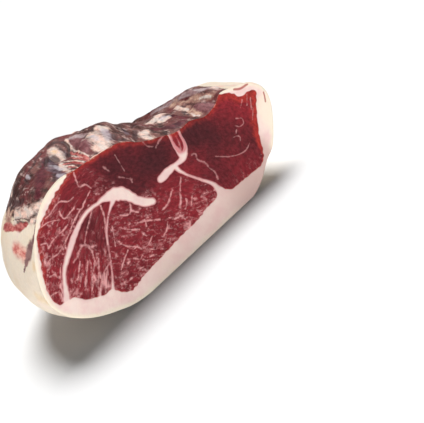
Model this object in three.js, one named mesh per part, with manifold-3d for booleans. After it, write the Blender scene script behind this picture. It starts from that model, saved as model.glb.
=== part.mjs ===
// Half of a boneless cured ham, cut across and resting on its fat side.
// Millimetres, +Z up. The cut face looks along -Y, X runs along its long side,
// and the origin is at the middle of the base.
// The fat cover wraps the muscles and reaches between them as seams. Each muscle
// is a solid of its own that runs from the cut face to near the rounded back.

import * as THREE from 'three';
import { mergeVertices } from 'three/addons/utils/BufferGeometryUtils.js';
import Module from 'manifold-3d';

const wasm = await Module();
wasm.setup();

// Driving dimensions
const CUT_WIDTH = 240;
const CUT_HEIGHT = 118;
const DEPTH = 165;
const GAP = 0.3;

// The sections shrink towards a pole, and the base is pressed flat where it rests
const POLE = new THREE.Vector2(-0.017 * CUT_WIDTH, 0.39 * CUT_HEIGHT);
const FLAT_SINK = 0.013 * CUT_HEIGHT;
const BASE_LIFT_FROM = 0.5;
const UPPER_TAPER = 2.3;
const BASE_TAPER = 2.2;

// Swellings behind the cut, as shares of the distance from the pole
const BACK_SWELL = { share: 0.055, reach: 0.9, power: 0.8 };
const TOP_SWELL = { share: 0.23, at: 0.05 * CUT_WIDTH, width: 0.16 * CUT_WIDTH };
const HEEL_SWELL = { share: 0.04, at: 0.62 * CUT_HEIGHT, width: 0.3 * CUT_HEIGHT };
const HEEL_FROM_X = -0.42 * CUT_WIDTH;

// Lumps and hollows of the dried top: shares across and deep, reach and height in mm
const TOP_RELIEF = [
  { across: -0.19, deep: 0.44, reach: 20, height: 9.0 },
  { across: -0.11, deep: 0.26, reach: 15, height: -7.5 },
  { across: 0.05, deep: 0.24, reach: 12, height: 7.0 },
  { across: 0.12, deep: 0.40, reach: 14, height: -3.0 },
  { across: 0.33, deep: 0.28, reach: 22, height: 3.5 },
  { across: 0.37, deep: 0.12, reach: 11, height: 1.5 },
];
const RELIEF_FROM = { depth: 0.06, low: 0.5 * CUT_HEIGHT, high: 0.75 * CUT_HEIGHT };

// Knife slit in the fat of the rounded end: shares across, deep and up, then mm
const SLIT = { from: [-0.392, 0, 0.851], to: [-0.479, 0.14, 0.614], width: 3.4, deep: 4.2 };
const SLIT_INWARD = new THREE.Vector3(1, 0, -0.4);

// How finely the solids are faceted, and the shares of the depth of their sections
const BODY_POINTS = 76;
const MUSCLE_POINTS = 72;
const SEAM_POINTS_PER_SPAN = 2;
const SEAM_END_SHARES = [0.25, 0.5, 0.75];
const BODY_DEPTHS = [0, 0.07, 0.15, 0.24, 0.34, 0.45, 0.56, 0.67, 0.77, 0.86, 0.93, 0.975, 0.9995];
const MUSCLE_DEPTHS = [0, 0.20, 0.42, 0.62, 0.80, 0.93];
const CUTTER_OVERHANG = 5;

// Outline of the cut face, as shares of the cut's width and height
const CUT_OUTLINE = [
  [-0.187, 0.974], [-0.241, 0.998], [-0.305, 0.978], [-0.360, 0.920],
  [-0.416, 0.816], [-0.468, 0.664], [-0.499, 0.507], [-0.500, 0.384],
  [-0.472, 0.260], [-0.413, 0.154], [-0.265, 0.026], [0.029, 0.010],
  [0.186, 0.000], [0.257, 0.013], [0.317, 0.062], [0.370, 0.130],
  [0.418, 0.190], [0.495, 0.430], [0.500, 0.537], [0.469, 0.634],
  [0.359, 0.716], [0.321, 0.682], [0.270, 0.664], [0.218, 0.708],
  [0.165, 0.714], [0.038, 0.829], [-0.017, 0.914],
];

// Inner edge of the fat cover. Where no fat covers the meat it passes above the body
const MEAT_OUTLINE = [
  [-0.222, 1.060], [-0.272, 0.948], [-0.380, 0.851], [-0.413, 0.796],
  [-0.471, 0.571], [-0.486, 0.466], [-0.482, 0.388], [-0.459, 0.359],
  [-0.429, 0.351], [-0.405, 0.289], [-0.346, 0.228], [-0.261, 0.117],
  [-0.204, 0.139], [0.044, 0.173], [0.099, 0.195], [0.145, 0.188],
  [0.178, 0.219], [0.206, 0.168], [0.257, 0.151], [0.345, 0.145],
  [0.373, 0.193], [0.394, 0.303], [0.432, 0.444], [0.470, 0.565],
  [0.448, 0.604], [0.412, 0.616], [0.392, 0.675], [0.352, 0.745],
  [0.270, 0.850], [0.150, 0.950], [0.020, 1.150], [-0.120, 1.200],
];

// Fat seams between the muscles: shares across and up, and half the width in mm
const SEAMS = {
  arc: [
    [-0.039, 0.470, 3.0], [-0.062, 0.504, 3.6], [-0.080, 0.551, 3.5],
    [-0.113, 0.660, 5.4], [-0.138, 0.686, 5.0], [-0.165, 0.707, 3.2],
    [-0.245, 0.724, 2.0], [-0.274, 0.703, 2.0], [-0.353, 0.608, 2.4],
    [-0.402, 0.529, 1.9], [-0.437, 0.426, 2.6], [-0.462, 0.330, 3.4],
  ],
  thin: [
    [-0.147, 0.664, 2.6], [-0.167, 0.640, 1.4], [-0.225, 0.518, 1.2],
    [-0.255, 0.404, 0.8], [-0.322, 0.170, 2.2],
  ],
  wedge: [[-0.262, 0.372, 0.9], [-0.300, 0.348, 0.7], [-0.323, 0.308, 0.7], [-0.374, 0.205, 1.5]],
  side: [
    [0.090, 0.549, 2.3], [0.096, 0.506, 1.8], [0.126, 0.403, 1.0],
    [0.161, 0.286, 1.6], [0.171, 0.150, 4.6],
  ],
  hub: [
    [0.025, 0.553, 2.6], [0.063, 0.557, 3.2], [0.103, 0.548, 2.2],
    [0.126, 0.548, 2.8], [0.141, 0.564, 2.9],
  ],
  rightProng: [[0.141, 0.564, 2.7], [0.159, 0.593, 1.5], [0.166, 0.631, 1.2], [0.172, 0.730, 1.1]],
  leftProng: [[0.130, 0.558, 2.7], [0.133, 0.681, 1.0], [0.139, 0.780, 0.9]],
};

// Looks of the two kinds of flesh, and the muscles from the largest to the smallest
const FAT = { color: 0xe8cfc0, roughness: 0.55, metalness: 0 };
const LEAN = { color: 0x7b2229, roughness: 0.45, metalness: 0 };
const MUSCLE_NAMES = ['lean_main', 'lean_side', 'lean_tongue', 'lean_wedge', 'lean_sliver'];

const { smoothstep, clamp } = THREE.MathUtils;

// Place of a point on the cut, from its shares across and up
function onCut([across, up]) {
  return new THREE.Vector2(across * CUT_WIDTH, up * CUT_HEIGHT);
}

// Share of full size left at a share t of the depth, falling to nothing at the back
function taper(t, power) {
  return Math.sqrt(1 - clamp(t, 0, 1) ** power);
}

// A rise of a given share that fades away on both sides of a place
function bell(value, { share, at, width }) {
  return share * Math.exp(-(((value - at) / width) ** 2));
}

// Where a point of the cut lies in the section at a share t of the depth
function section(point, t) {
  const swell = Math.sin(Math.PI * clamp(t / BACK_SWELL.reach, 0, 1)) ** BACK_SWELL.power;
  const heel = bell(point.y, HEEL_SWELL) * smoothstep(-point.x, 0, -HEEL_FROM_X) * swell;
  const rise = (BACK_SWELL.share + bell(point.x, TOP_SWELL)) * swell;
  const top = taper(t, UPPER_TAPER) * (1 + rise);
  const base = taper((t - BASE_LIFT_FROM) / (1 - BASE_LIFT_FROM), BASE_TAPER);
  return new THREE.Vector2(
    POLE.x + (point.x - POLE.x) * taper(t, UPPER_TAPER) * (1 + heel),
    POLE.y + (point.y - POLE.y) * (point.y > POLE.y ? top : base) - FLAT_SINK,
  );
}

// Height that the lumps and hollows add to the upper side
function topRelief(x, t) {
  let height = 0;
  for (const lump of TOP_RELIEF) {
    const away = Math.hypot(x - lump.across * CUT_WIDTH, (t - lump.deep) * DEPTH);
    height += lump.height * Math.exp(-((away / lump.reach) ** 2));
  }
  return height * smoothstep(t, 0, RELIEF_FROM.depth) * taper(t, UPPER_TAPER);
}

// A closed smooth outline through the points, sampled evenly
function closedOutline(points, count) {
  const places = points.map((point) => new THREE.Vector3(...onCut(point), 0));
  const curve = new THREE.CatmullRomCurve3(places, true, 'catmullrom', 0.5);
  return curve.getSpacedPoints(count).slice(1).map((p) => new THREE.Vector2(p.x, p.y));
}

// The outline moved outwards by a distance, which is negative to move it inwards
function offsetOutline(outline, distance) {
  const outward = THREE.ShapeUtils.isClockWise(outline) ? -distance : distance;
  return outline.map((p, i) => {
    const before = outline.at(i - 1);
    const after = outline[(i + 1) % outline.length];
    const along = after.clone().sub(before).normalize();
    return new THREE.Vector2(p.x + along.y * outward, p.y - along.x * outward);
  });
}

// Outline of a seam: a centre line with a width that changes, and half-round ends
function seamOutline(points, growth) {
  const places = points.map(([across, up, half]) => new THREE.Vector3(...onCut([across, up]), half));
  const curve = new THREE.CatmullRomCurve3(places, false, 'catmullrom', 0.5);
  const line = curve.getPoints((points.length - 1) * SEAM_POINTS_PER_SPAN);
  const last = line.length - 1;
  const left = [];
  const right = [];
  line.forEach((p, i) => {
    const along = line[Math.min(i + 1, last)].clone().sub(line[Math.max(i - 1, 0)]);
    const side = new THREE.Vector2(-along.y, along.x).setLength(p.z + growth);
    left.push(new THREE.Vector2(p.x, p.y).add(side));
    right.unshift(new THREE.Vector2(p.x, p.y).sub(side));
  });
  const halfRound = (centre, from) => SEAM_END_SHARES.map(
    (share) => from.clone().rotateAround(new THREE.Vector2(centre.x, centre.y), -Math.PI * share),
  );
  return [...left, ...halfRound(line[last], left[last]), ...right, ...halfRound(line[0], right[last])];
}

// Turns a closed three.js geometry into a solid that can be cut
function toSolid(geometry) {
  geometry.deleteAttribute('normal');
  geometry.deleteAttribute('uv');
  const merged = mergeVertices(geometry, 1e-4);
  return new wasm.Manifold(new wasm.Mesh({
    numProp: 3,
    vertProperties: new Float32Array(merged.attributes.position.array),
    triVerts: new Uint32Array(merged.index.array),
  }));
}

// Extrudes an outline in steps and moves each point to its place in its section
function loft(outline, steps, place) {
  const shape = new THREE.Shape(outline);
  const geometry = new THREE.ExtrudeGeometry(shape, { depth: steps, steps, bevelEnabled: false });
  const position = geometry.attributes.position;
  for (let i = 0; i < position.count; i += 1) {
    const point = new THREE.Vector2(position.getX(i), position.getY(i));
    position.setXYZ(i, ...place(point, Math.round(position.getZ(i))));
  }
  // The depth runs along Y, which mirrors the shape, so each triangle is turned over
  const first = new THREE.Vector3();
  const second = new THREE.Vector3();
  for (let i = 0; i < position.count; i += 3) {
    first.fromBufferAttribute(position, i);
    second.fromBufferAttribute(position, i + 1);
    position.setXYZ(i, ...second);
    position.setXYZ(i + 1, ...first);
  }
  return toSolid(geometry);
}

// The whole ham: the cut's outline carried back through the sections
function wholeBody() {
  return loft(closedOutline(CUT_OUTLINE, BODY_POINTS), BODY_DEPTHS.length - 1, (point, step) => {
    const t = BODY_DEPTHS[step];
    const at = section(point, t);
    const upper = smoothstep(point.y, RELIEF_FROM.low, RELIEF_FROM.high);
    const height = at.y + upper * topRelief(at.x, t);
    return new THREE.Vector3(at.x, t * DEPTH, Math.max(height, 0));
  });
}

// An outline carried back through the meat, from before the cut to past the muscles' end
function throughMeat(outline, past) {
  const last = MUSCLE_DEPTHS.length;
  return loft(outline, last, (point, step) => {
    const t = MUSCLE_DEPTHS[Math.max(step - 1, 0)];
    const at = section(point, t);
    const depths = { 0: -CUTTER_OVERHANG, [last]: t * DEPTH + past };
    return new THREE.Vector3(at.x, depths[step] ?? t * DEPTH, at.y);
  });
}

// All the meat inside the fat cover and between the seams, a gap away from both
function meat(gap) {
  const inner = offsetOutline(closedOutline(MEAT_OUTLINE, MUSCLE_POINTS), -gap);
  const seams = Object.values(SEAMS).map((seam) => throughMeat(seamOutline(seam, gap), GAP));
  return seams.reduce((solid, seam) => solid.subtract(seam), throughMeat(inner, -gap));
}

// A lens-shaped knife cut across the rounded end
function slit() {
  const place = ([across, deep, up]) => (
    new THREE.Vector3(across * CUT_WIDTH, deep * DEPTH, up * CUT_HEIGHT)
  );
  const from = place(SLIT.from);
  const to = place(SLIT.to);
  const lens = new THREE.Mesh(new THREE.SphereGeometry(1, 10, 12));
  lens.scale.set(SLIT.width / 2, SLIT.deep, from.distanceTo(to) / 2);
  lens.position.lerpVectors(from, to, 0.5);
  lens.up.copy(SLIT_INWARD);
  lens.lookAt(to);
  lens.updateMatrix();
  return toSolid(lens.geometry.applyMatrix4(lens.matrix));
}

// A named three.js mesh from a solid
function toMesh(solid, name, look) {
  const { vertProperties, triVerts } = solid.getMesh();
  const geometry = new THREE.BufferGeometry();
  geometry.setAttribute('position', new THREE.BufferAttribute(vertProperties, 3));
  geometry.setIndex(new THREE.BufferAttribute(triVerts, 1));
  const mesh = new THREE.Mesh(geometry, new THREE.MeshStandardMaterial({ ...look, flatShading: true }));
  mesh.name = name;
  return mesh;
}

const body = wholeBody().subtract(slit());
const muscles = body.intersect(meat(GAP)).decompose().sort((a, b) => b.volume() - a.volume());

const ham = new THREE.Group();
ham.add(toMesh(body.subtract(meat(0)), 'fat_cover', FAT));
MUSCLE_NAMES.forEach((name, i) => ham.add(toMesh(muscles[i], name, LEAN)));

const bounds = new THREE.Box3().setFromObject(ham);
const middle = bounds.getCenter(new THREE.Vector3());
ham.position.set(-middle.x, -middle.y, -bounds.min.z);

export default ham;
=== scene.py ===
"""Looks of half a boneless cured ham, cut across and resting on its fat side.

The fat cover and each muscle are closed pieces that meet without a gap. All of them
come from one flat plan of the cut, which runs back through the same sections as the
solids. Plan measures are in millimetres, across (x) and up (z), and the finished
meshes are in metres.
"""
from __future__ import annotations

import logging
from dataclasses import dataclass, field
from enum import Enum
from math import cos, pi, radians, sin

import bpy
import numpy as np
from mathutils import Matrix, Vector
from mathutils.geometry import delaunay_2d_cdt


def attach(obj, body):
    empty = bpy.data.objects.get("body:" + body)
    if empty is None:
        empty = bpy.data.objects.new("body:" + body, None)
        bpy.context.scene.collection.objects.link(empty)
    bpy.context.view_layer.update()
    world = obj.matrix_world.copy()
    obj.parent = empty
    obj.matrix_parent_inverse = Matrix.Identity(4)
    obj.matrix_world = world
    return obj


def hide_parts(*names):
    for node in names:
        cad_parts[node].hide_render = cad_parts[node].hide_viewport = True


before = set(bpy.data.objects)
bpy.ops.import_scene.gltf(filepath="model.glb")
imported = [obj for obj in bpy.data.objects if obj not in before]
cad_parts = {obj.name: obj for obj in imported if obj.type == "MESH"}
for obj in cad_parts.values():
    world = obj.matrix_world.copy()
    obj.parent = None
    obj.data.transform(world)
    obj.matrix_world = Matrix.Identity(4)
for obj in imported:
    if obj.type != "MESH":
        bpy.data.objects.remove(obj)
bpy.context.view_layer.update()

log = logging.getLogger("ham")

Array = np.ndarray
Colour = tuple[float, float, float, float]
Spot = tuple[float, float]

MM = 0.001


def from_screen(red: int, green: int, blue: int) -> Colour:
    """Turn a colour as a screen shows it into the linear colour that a shader takes.

    Args:
        red: Red from 0 to 255.
        green: Green from 0 to 255.
        blue: Blue from 0 to 255.

    Returns:
        The linear colour with full opacity.
    """
    shares = (value / 255 for value in (red, green, blue))
    linear = (s / 12.92 if s <= 0.04045 else ((s + 0.055) / 1.055) ** 2.4 for s in shares)
    return (*linear, 1.0)


def ease(values: Array, low: float, high: float) -> Array:
    """Rise softly from 0 at low to 1 at high, as 3s^2 - 2s^3 of the share s between them.

    Args:
        values: Values to ease.
        low: Value where the rise starts.
        high: Value where the rise ends.

    Returns:
        The eased values, from 0 to 1.
    """
    share = np.clip((values - low) / (high - low), 0.0, 1.0)
    return share * share * (3.0 - 2.0 * share)


def lumpy(places: Array, size: float | Array, seed: int) -> Array:
    """Smooth random hills: eased mixing of random heights at the corners of a cube lattice.

    Args:
        places: Points, one row of three each.
        size: Edge of a lattice cube, one number or one for each direction.
        seed: Number that picks the random heights.

    Returns:
        A height from -1 to 1 for each point.
    """
    count = 24
    heights = np.random.default_rng(seed).uniform(-1.0, 1.0, (count, count, count))
    scaled = places / size
    cell = np.floor(scaled).astype(int)
    share = scaled - cell
    share = share * share * (3.0 - 2.0 * share)
    total = np.zeros(places.shape[:-1])
    for corner in np.ndindex(2, 2, 2):
        step = np.array(corner)
        weight = np.prod(np.where(step == 1, share, 1.0 - share), axis=-1)
        i, j, k = np.moveaxis((cell + step) % count, -1, 0)
        total = total + weight * heights[i, j, k]
    return total


def wander(along: Array, length: float, waves: tuple[float, float], seed: int) -> Array:
    """Random wavy offset along a closed line: a sum of sines whose lengths lie in a range.

    Args:
        along: Distances along the line.
        length: Whole length of the line.
        waves: Shortest and longest wave.
        seed: Number that picks the strengths and starts of the waves.

    Returns:
        An offset of about -1 to 1 for each distance.
    """
    dice = np.random.default_rng(seed)
    turns = np.arange(max(1, int(length / waves[1])), int(length / waves[0]) + 2)
    strength = dice.normal(size=len(turns)) / np.sqrt(len(turns))
    start = dice.uniform(0.0, 2.0 * pi, len(turns))
    return np.sin(2.0 * pi * along[:, None] * turns / length + start) @ strength


def smooth_line(points: Array, spacing: float, closed: bool) -> Array:
    """Even points on the uniform Catmull-Rom curve through the given points.

    Each span is the cubic through its two ends whose slopes there are half the step
    between the neighbours.

    Args:
        points: Control points, with x and z first and any other values after them.
        spacing: Distance between the points that come out.
        closed: Whether the line returns to its start.

    Returns:
        The even points. The start isn't repeated on a closed line.
    """
    if closed:
        ring = np.vstack([points[-1:], points, points[:2]])
    else:
        ring = np.vstack([2 * points[0] - points[1], points, 2 * points[-1] - points[-2]])
    share = np.linspace(0.0, 1.0, 24, endpoint=False)[:, None]
    a, b, c, d = ring[:-3, None], ring[1:-2, None], ring[2:-1, None], ring[3:, None]
    curve = 0.5 * (
        2 * b + (c - a) * share + (2 * a - 5 * b + 4 * c - d) * share**2
        + (3 * b - a - 3 * c + d) * share**3
    )
    line = np.vstack([curve.reshape(-1, points.shape[1]), points[:1] if closed else points[-1:]])
    run = np.concatenate([[0.0], np.cumsum(np.hypot(*np.diff(line[:, :2], axis=0).T))])
    count = max(2, round(run[-1] / spacing))
    stops = np.linspace(0.0, run[-1], count + 1)[: count if closed else count + 1]
    return np.column_stack([np.interp(stops, run, column) for column in line.T])


def sideways(line: Array, closed: bool) -> Array:
    """Unit vectors square to a line, to the left of its run.

    Args:
        line: Points of the line.
        closed: Whether the line returns to its start.

    Returns:
        One unit vector for each point.
    """
    if closed:
        run = np.roll(line, -1, axis=0) - np.roll(line, 1, axis=0)
    else:
        run = np.gradient(line, axis=0)
    run = run / np.maximum(np.hypot(*run.T), 1e-9)[:, None]
    return np.column_stack([-run[:, 1], run[:, 0]])


@dataclass(frozen=True)
class Nearest:
    """Where points lie beside a line: how far off, how far along, and on which side."""

    off: Array
    along: Array
    side: Array


def beside(spots: Array, line: Array, closed: bool = False) -> Nearest:
    """Measure points against a line of short straight spans.

    For each point and span the foot of the square is found and kept between the
    span's ends, and the nearest foot counts.

    Args:
        spots: Points, one row of x and z each.
        line: Points of the line.
        closed: Whether the line returns to its start.

    Returns:
        The distances, the lengths along, and 1 on the left or -1 on the right.
    """
    start = line[:, :2] if closed else line[:-1, :2]
    step = (np.roll(line[:, :2], -1, axis=0) - line[:, :2])[: len(start)]
    length = np.maximum(np.hypot(*step.T), 1e-9)
    run = np.concatenate([[0.0], np.cumsum(length)[:-1]])
    off, along, side = [], [], []
    for block in np.array_split(spots, max(1, len(spots) * len(start) // 2_000_000)):
        gap = block[:, None] - start
        foot = np.clip((gap * step).sum(-1) / length**2, 0.0, 1.0)
        away = np.hypot(*np.moveaxis(gap - foot[..., None] * step, -1, 0))
        pick = away.argmin(axis=1)
        row = np.arange(len(block))
        turn = step[pick, 0] * gap[row, pick, 1] - step[pick, 1] * gap[row, pick, 0]
        off.append(away[row, pick])
        along.append(run[pick] + foot[row, pick] * length[pick])
        side.append(np.where(turn >= 0, 1.0, -1.0))
    return Nearest(np.concatenate(off), np.concatenate(along), np.concatenate(side))


def within(spots: Array, edges: Array) -> Array:
    """Tell which points lie inside closed outlines, by counting crossings to the right.

    Args:
        spots: Points, one row of x and z each.
        edges: Edges of the outlines, as start x, start z, end x, end z.

    Returns:
        True for each point with an odd number of crossings.
    """
    x0, z0, x1, z1 = edges.T
    slope = (x1 - x0) / np.where(z1 == z0, 1e-12, z1 - z0)
    found = []
    for block in np.array_split(spots, max(1, len(spots) * len(edges) // 4_000_000)):
        x, z = block[:, :1], block[:, 1:]
        crossed = ((z0 > z) != (z1 > z)) & (x < x0 + (z - z0) * slope)
        found.append(crossed.sum(axis=1) % 2 == 1)
    return np.concatenate(found)


def ring_edges(line: Array) -> Array:
    """Edges of a closed line, as start x, start z, end x, end z."""
    return np.hstack([line[:, :2], np.roll(line[:, :2], -1, axis=0)])


def open_edges(triangles: Array) -> Array:
    """Directed edges that only one of the triangles has, in the sense it runs them."""
    edges = np.concatenate([triangles[:, [0, 1]], triangles[:, [1, 2]], triangles[:, [2, 0]]])
    span = triangles.max() + 1
    keys = edges[:, 0] * span + edges[:, 1]
    return edges[~np.isin(keys, edges[:, 1] * span + edges[:, 0])]


class Muscle(Enum):
    """The separate muscles, by the name of their solid, from the largest to the smallest."""

    MAIN = "lean_main"
    SIDE = "lean_side"
    TONGUE = "lean_tongue"
    WEDGE = "lean_wedge"
    SLIVER = "lean_sliver"


class Tone(Enum):
    """Kinds of patch on the outside, by the name of the mesh value that holds them.

    They are painted in this order, the last on top.
    """

    MAROON = "patch_maroon"
    LOBE = "patch_lobe"
    LILAC = "patch_lilac"
    PURPLE = "patch_purple"
    BEIGE = "patch_beige"
    CREAM = "patch_cream"
    # Dark crust, with painted shade where its patches follow creases and grooves
    DARK = "patch_dark"
    RED = "patch_red"
    SALMON = "patch_salmon"
    MOULD = "patch_mould"
    YELLOW = "patch_yellow"
    SLIT = "patch_slit"


@dataclass(frozen=True)
class Patch:
    """A patch of the outside: its tone, half its width, and the points that it runs through.

    The points are in mm round the rim from the top, positive down the rounded end, and
    in mm behind the cut.
    """

    tone: Tone
    half: float
    points: tuple[Spot, ...]


@dataclass(frozen=True)
class Lump:
    """A lump of the outside, or a hollow: its middle, its reach both ways, and its height."""

    middle: Spot
    reach: Spot
    height: float


@dataclass(frozen=True)
class Streak:
    """A streak of fat in the cut: the points that it runs through and half its width."""

    points: tuple[Spot, ...]
    half: float = 0.8


@dataclass(frozen=True)
class HamForm:
    """Sizes of the ham, and the rule that carries the cut back to the rounded end."""

    width: float = 240.0
    height: float = 118.0
    depth: float = 165.0
    pole: Spot = (-4.08, 46.02)
    sink: float = 1.534
    aside: float = 0.64
    front: float = -82.459
    upper_taper: float = 2.3
    base_taper: float = 2.2
    lift_from: float = 0.5
    muscle_end: float = 0.93
    # Across, depth, reach and height of the large lumps of the top
    relief: tuple[tuple[float, float, float, float], ...] = (
        (-45.6, 72.6, 20.0, 9.0), (-26.4, 42.9, 15.0, -7.5), (12.0, 39.6, 12.0, 7.0),
        (28.8, 66.0, 14.0, -3.0), (79.2, 46.2, 22.0, 3.5), (88.8, 19.8, 11.0, 1.5),
    )

    def shrink(self, share: Array, power: float) -> Array:
        """Share of full size that is left at a share of the depth: sqrt(1 - share^power)."""
        return np.sqrt(1.0 - np.clip(share, 0.0, 1.0) ** power)

    def place(self, spots: Array, share: Array) -> Array:
        """Carry points of the cut back to a share of the depth.

        Distances from the pole shrink with the taper, swell a little behind the cut, and
        swell more under the top's middle and at the heel. Below the pole the shrinking
        starts halfway back. The large lumps then lift or sink the upper side.

        Args:
            spots: Points of the cut, one row of x and z each.
            share: Shares of the depth, which broadcast against the points.

        Returns:
            Points in the ham's frame in mm, with x, y and z last.
        """
        x, z = spots[..., 0], spots[..., 1]
        taper = self.shrink(share, self.upper_taper)
        swell = np.sin(pi * np.clip(share / 0.9, 0.0, 1.0)) ** 0.8
        heel = 0.04 * np.exp(-(((z - 73.16) / 35.4) ** 2)) * ease(-x, 0.0, 100.8) * swell
        rise = (0.055 + 0.23 * np.exp(-(((x - 12.0) / 38.4) ** 2))) * swell
        base = self.shrink((share - self.lift_from) / (1 - self.lift_from), self.base_taper)
        across = self.pole[0] + (x - self.pole[0]) * taper * (1 + heel)
        up = np.where(z > self.pole[1], taper * (1 + rise), base)
        up = self.pole[1] + (z - self.pole[1]) * up - self.sink
        lift = sum(
            height * np.exp(-((across - at) ** 2 + (share * self.depth - deep) ** 2) / reach**2)
            for at, deep, reach, height in self.relief
        )
        up = up + ease(z, 59.0, 88.5) * lift * ease(share, 0.0, 0.06) * taper
        deep = np.broadcast_to(share * self.depth + self.front, across.shape)
        return np.stack([across + self.aside, deep, np.maximum(up, 0.0)], axis=-1)

    def depth_shares(self, spacing: Spot, stride: int) -> tuple[Array, int]:
        """Shares of the depth of the rings round the outside.

        The rings are spaced along a side view of the ham, depth times share against half
        its width times the taper. A few closer ones follow the cut.

        Args:
            spacing: Distance between the rings in mm, in front and at the back.
            stride: Rings to a step of the inner walls, which divides those of the muscles.

        Returns:
            The shares, and the place among them of the muscles' end.
        """
        turn = np.linspace(0.0, pi / 2, 4000)
        share = np.sin(turn) ** (2.0 / self.upper_taper)
        step = np.hypot(np.gradient(share * self.depth), np.gradient(80 * np.cos(turn)))
        run = np.cumsum(step / np.interp(share * self.depth, [65.0, 100.0], spacing))
        end = np.interp(self.muscle_end, share, run)
        count = int(round((end - run[0]) / stride)) * stride - 2
        inner = np.interp(np.linspace(run[0], end, count + 1), run, share)
        inner[0] = 0.0
        inner = np.concatenate([[0.0, 0.4 / self.depth, 0.9 / self.depth], inner[1:]])
        inner[-1] = self.muscle_end
        last = np.interp(0.9998, share, run)
        outer = np.interp(np.linspace(end, last, int(last - end) + 1), run, share)[1:]
        return np.concatenate([inner, outer]), len(inner) - 1


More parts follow.
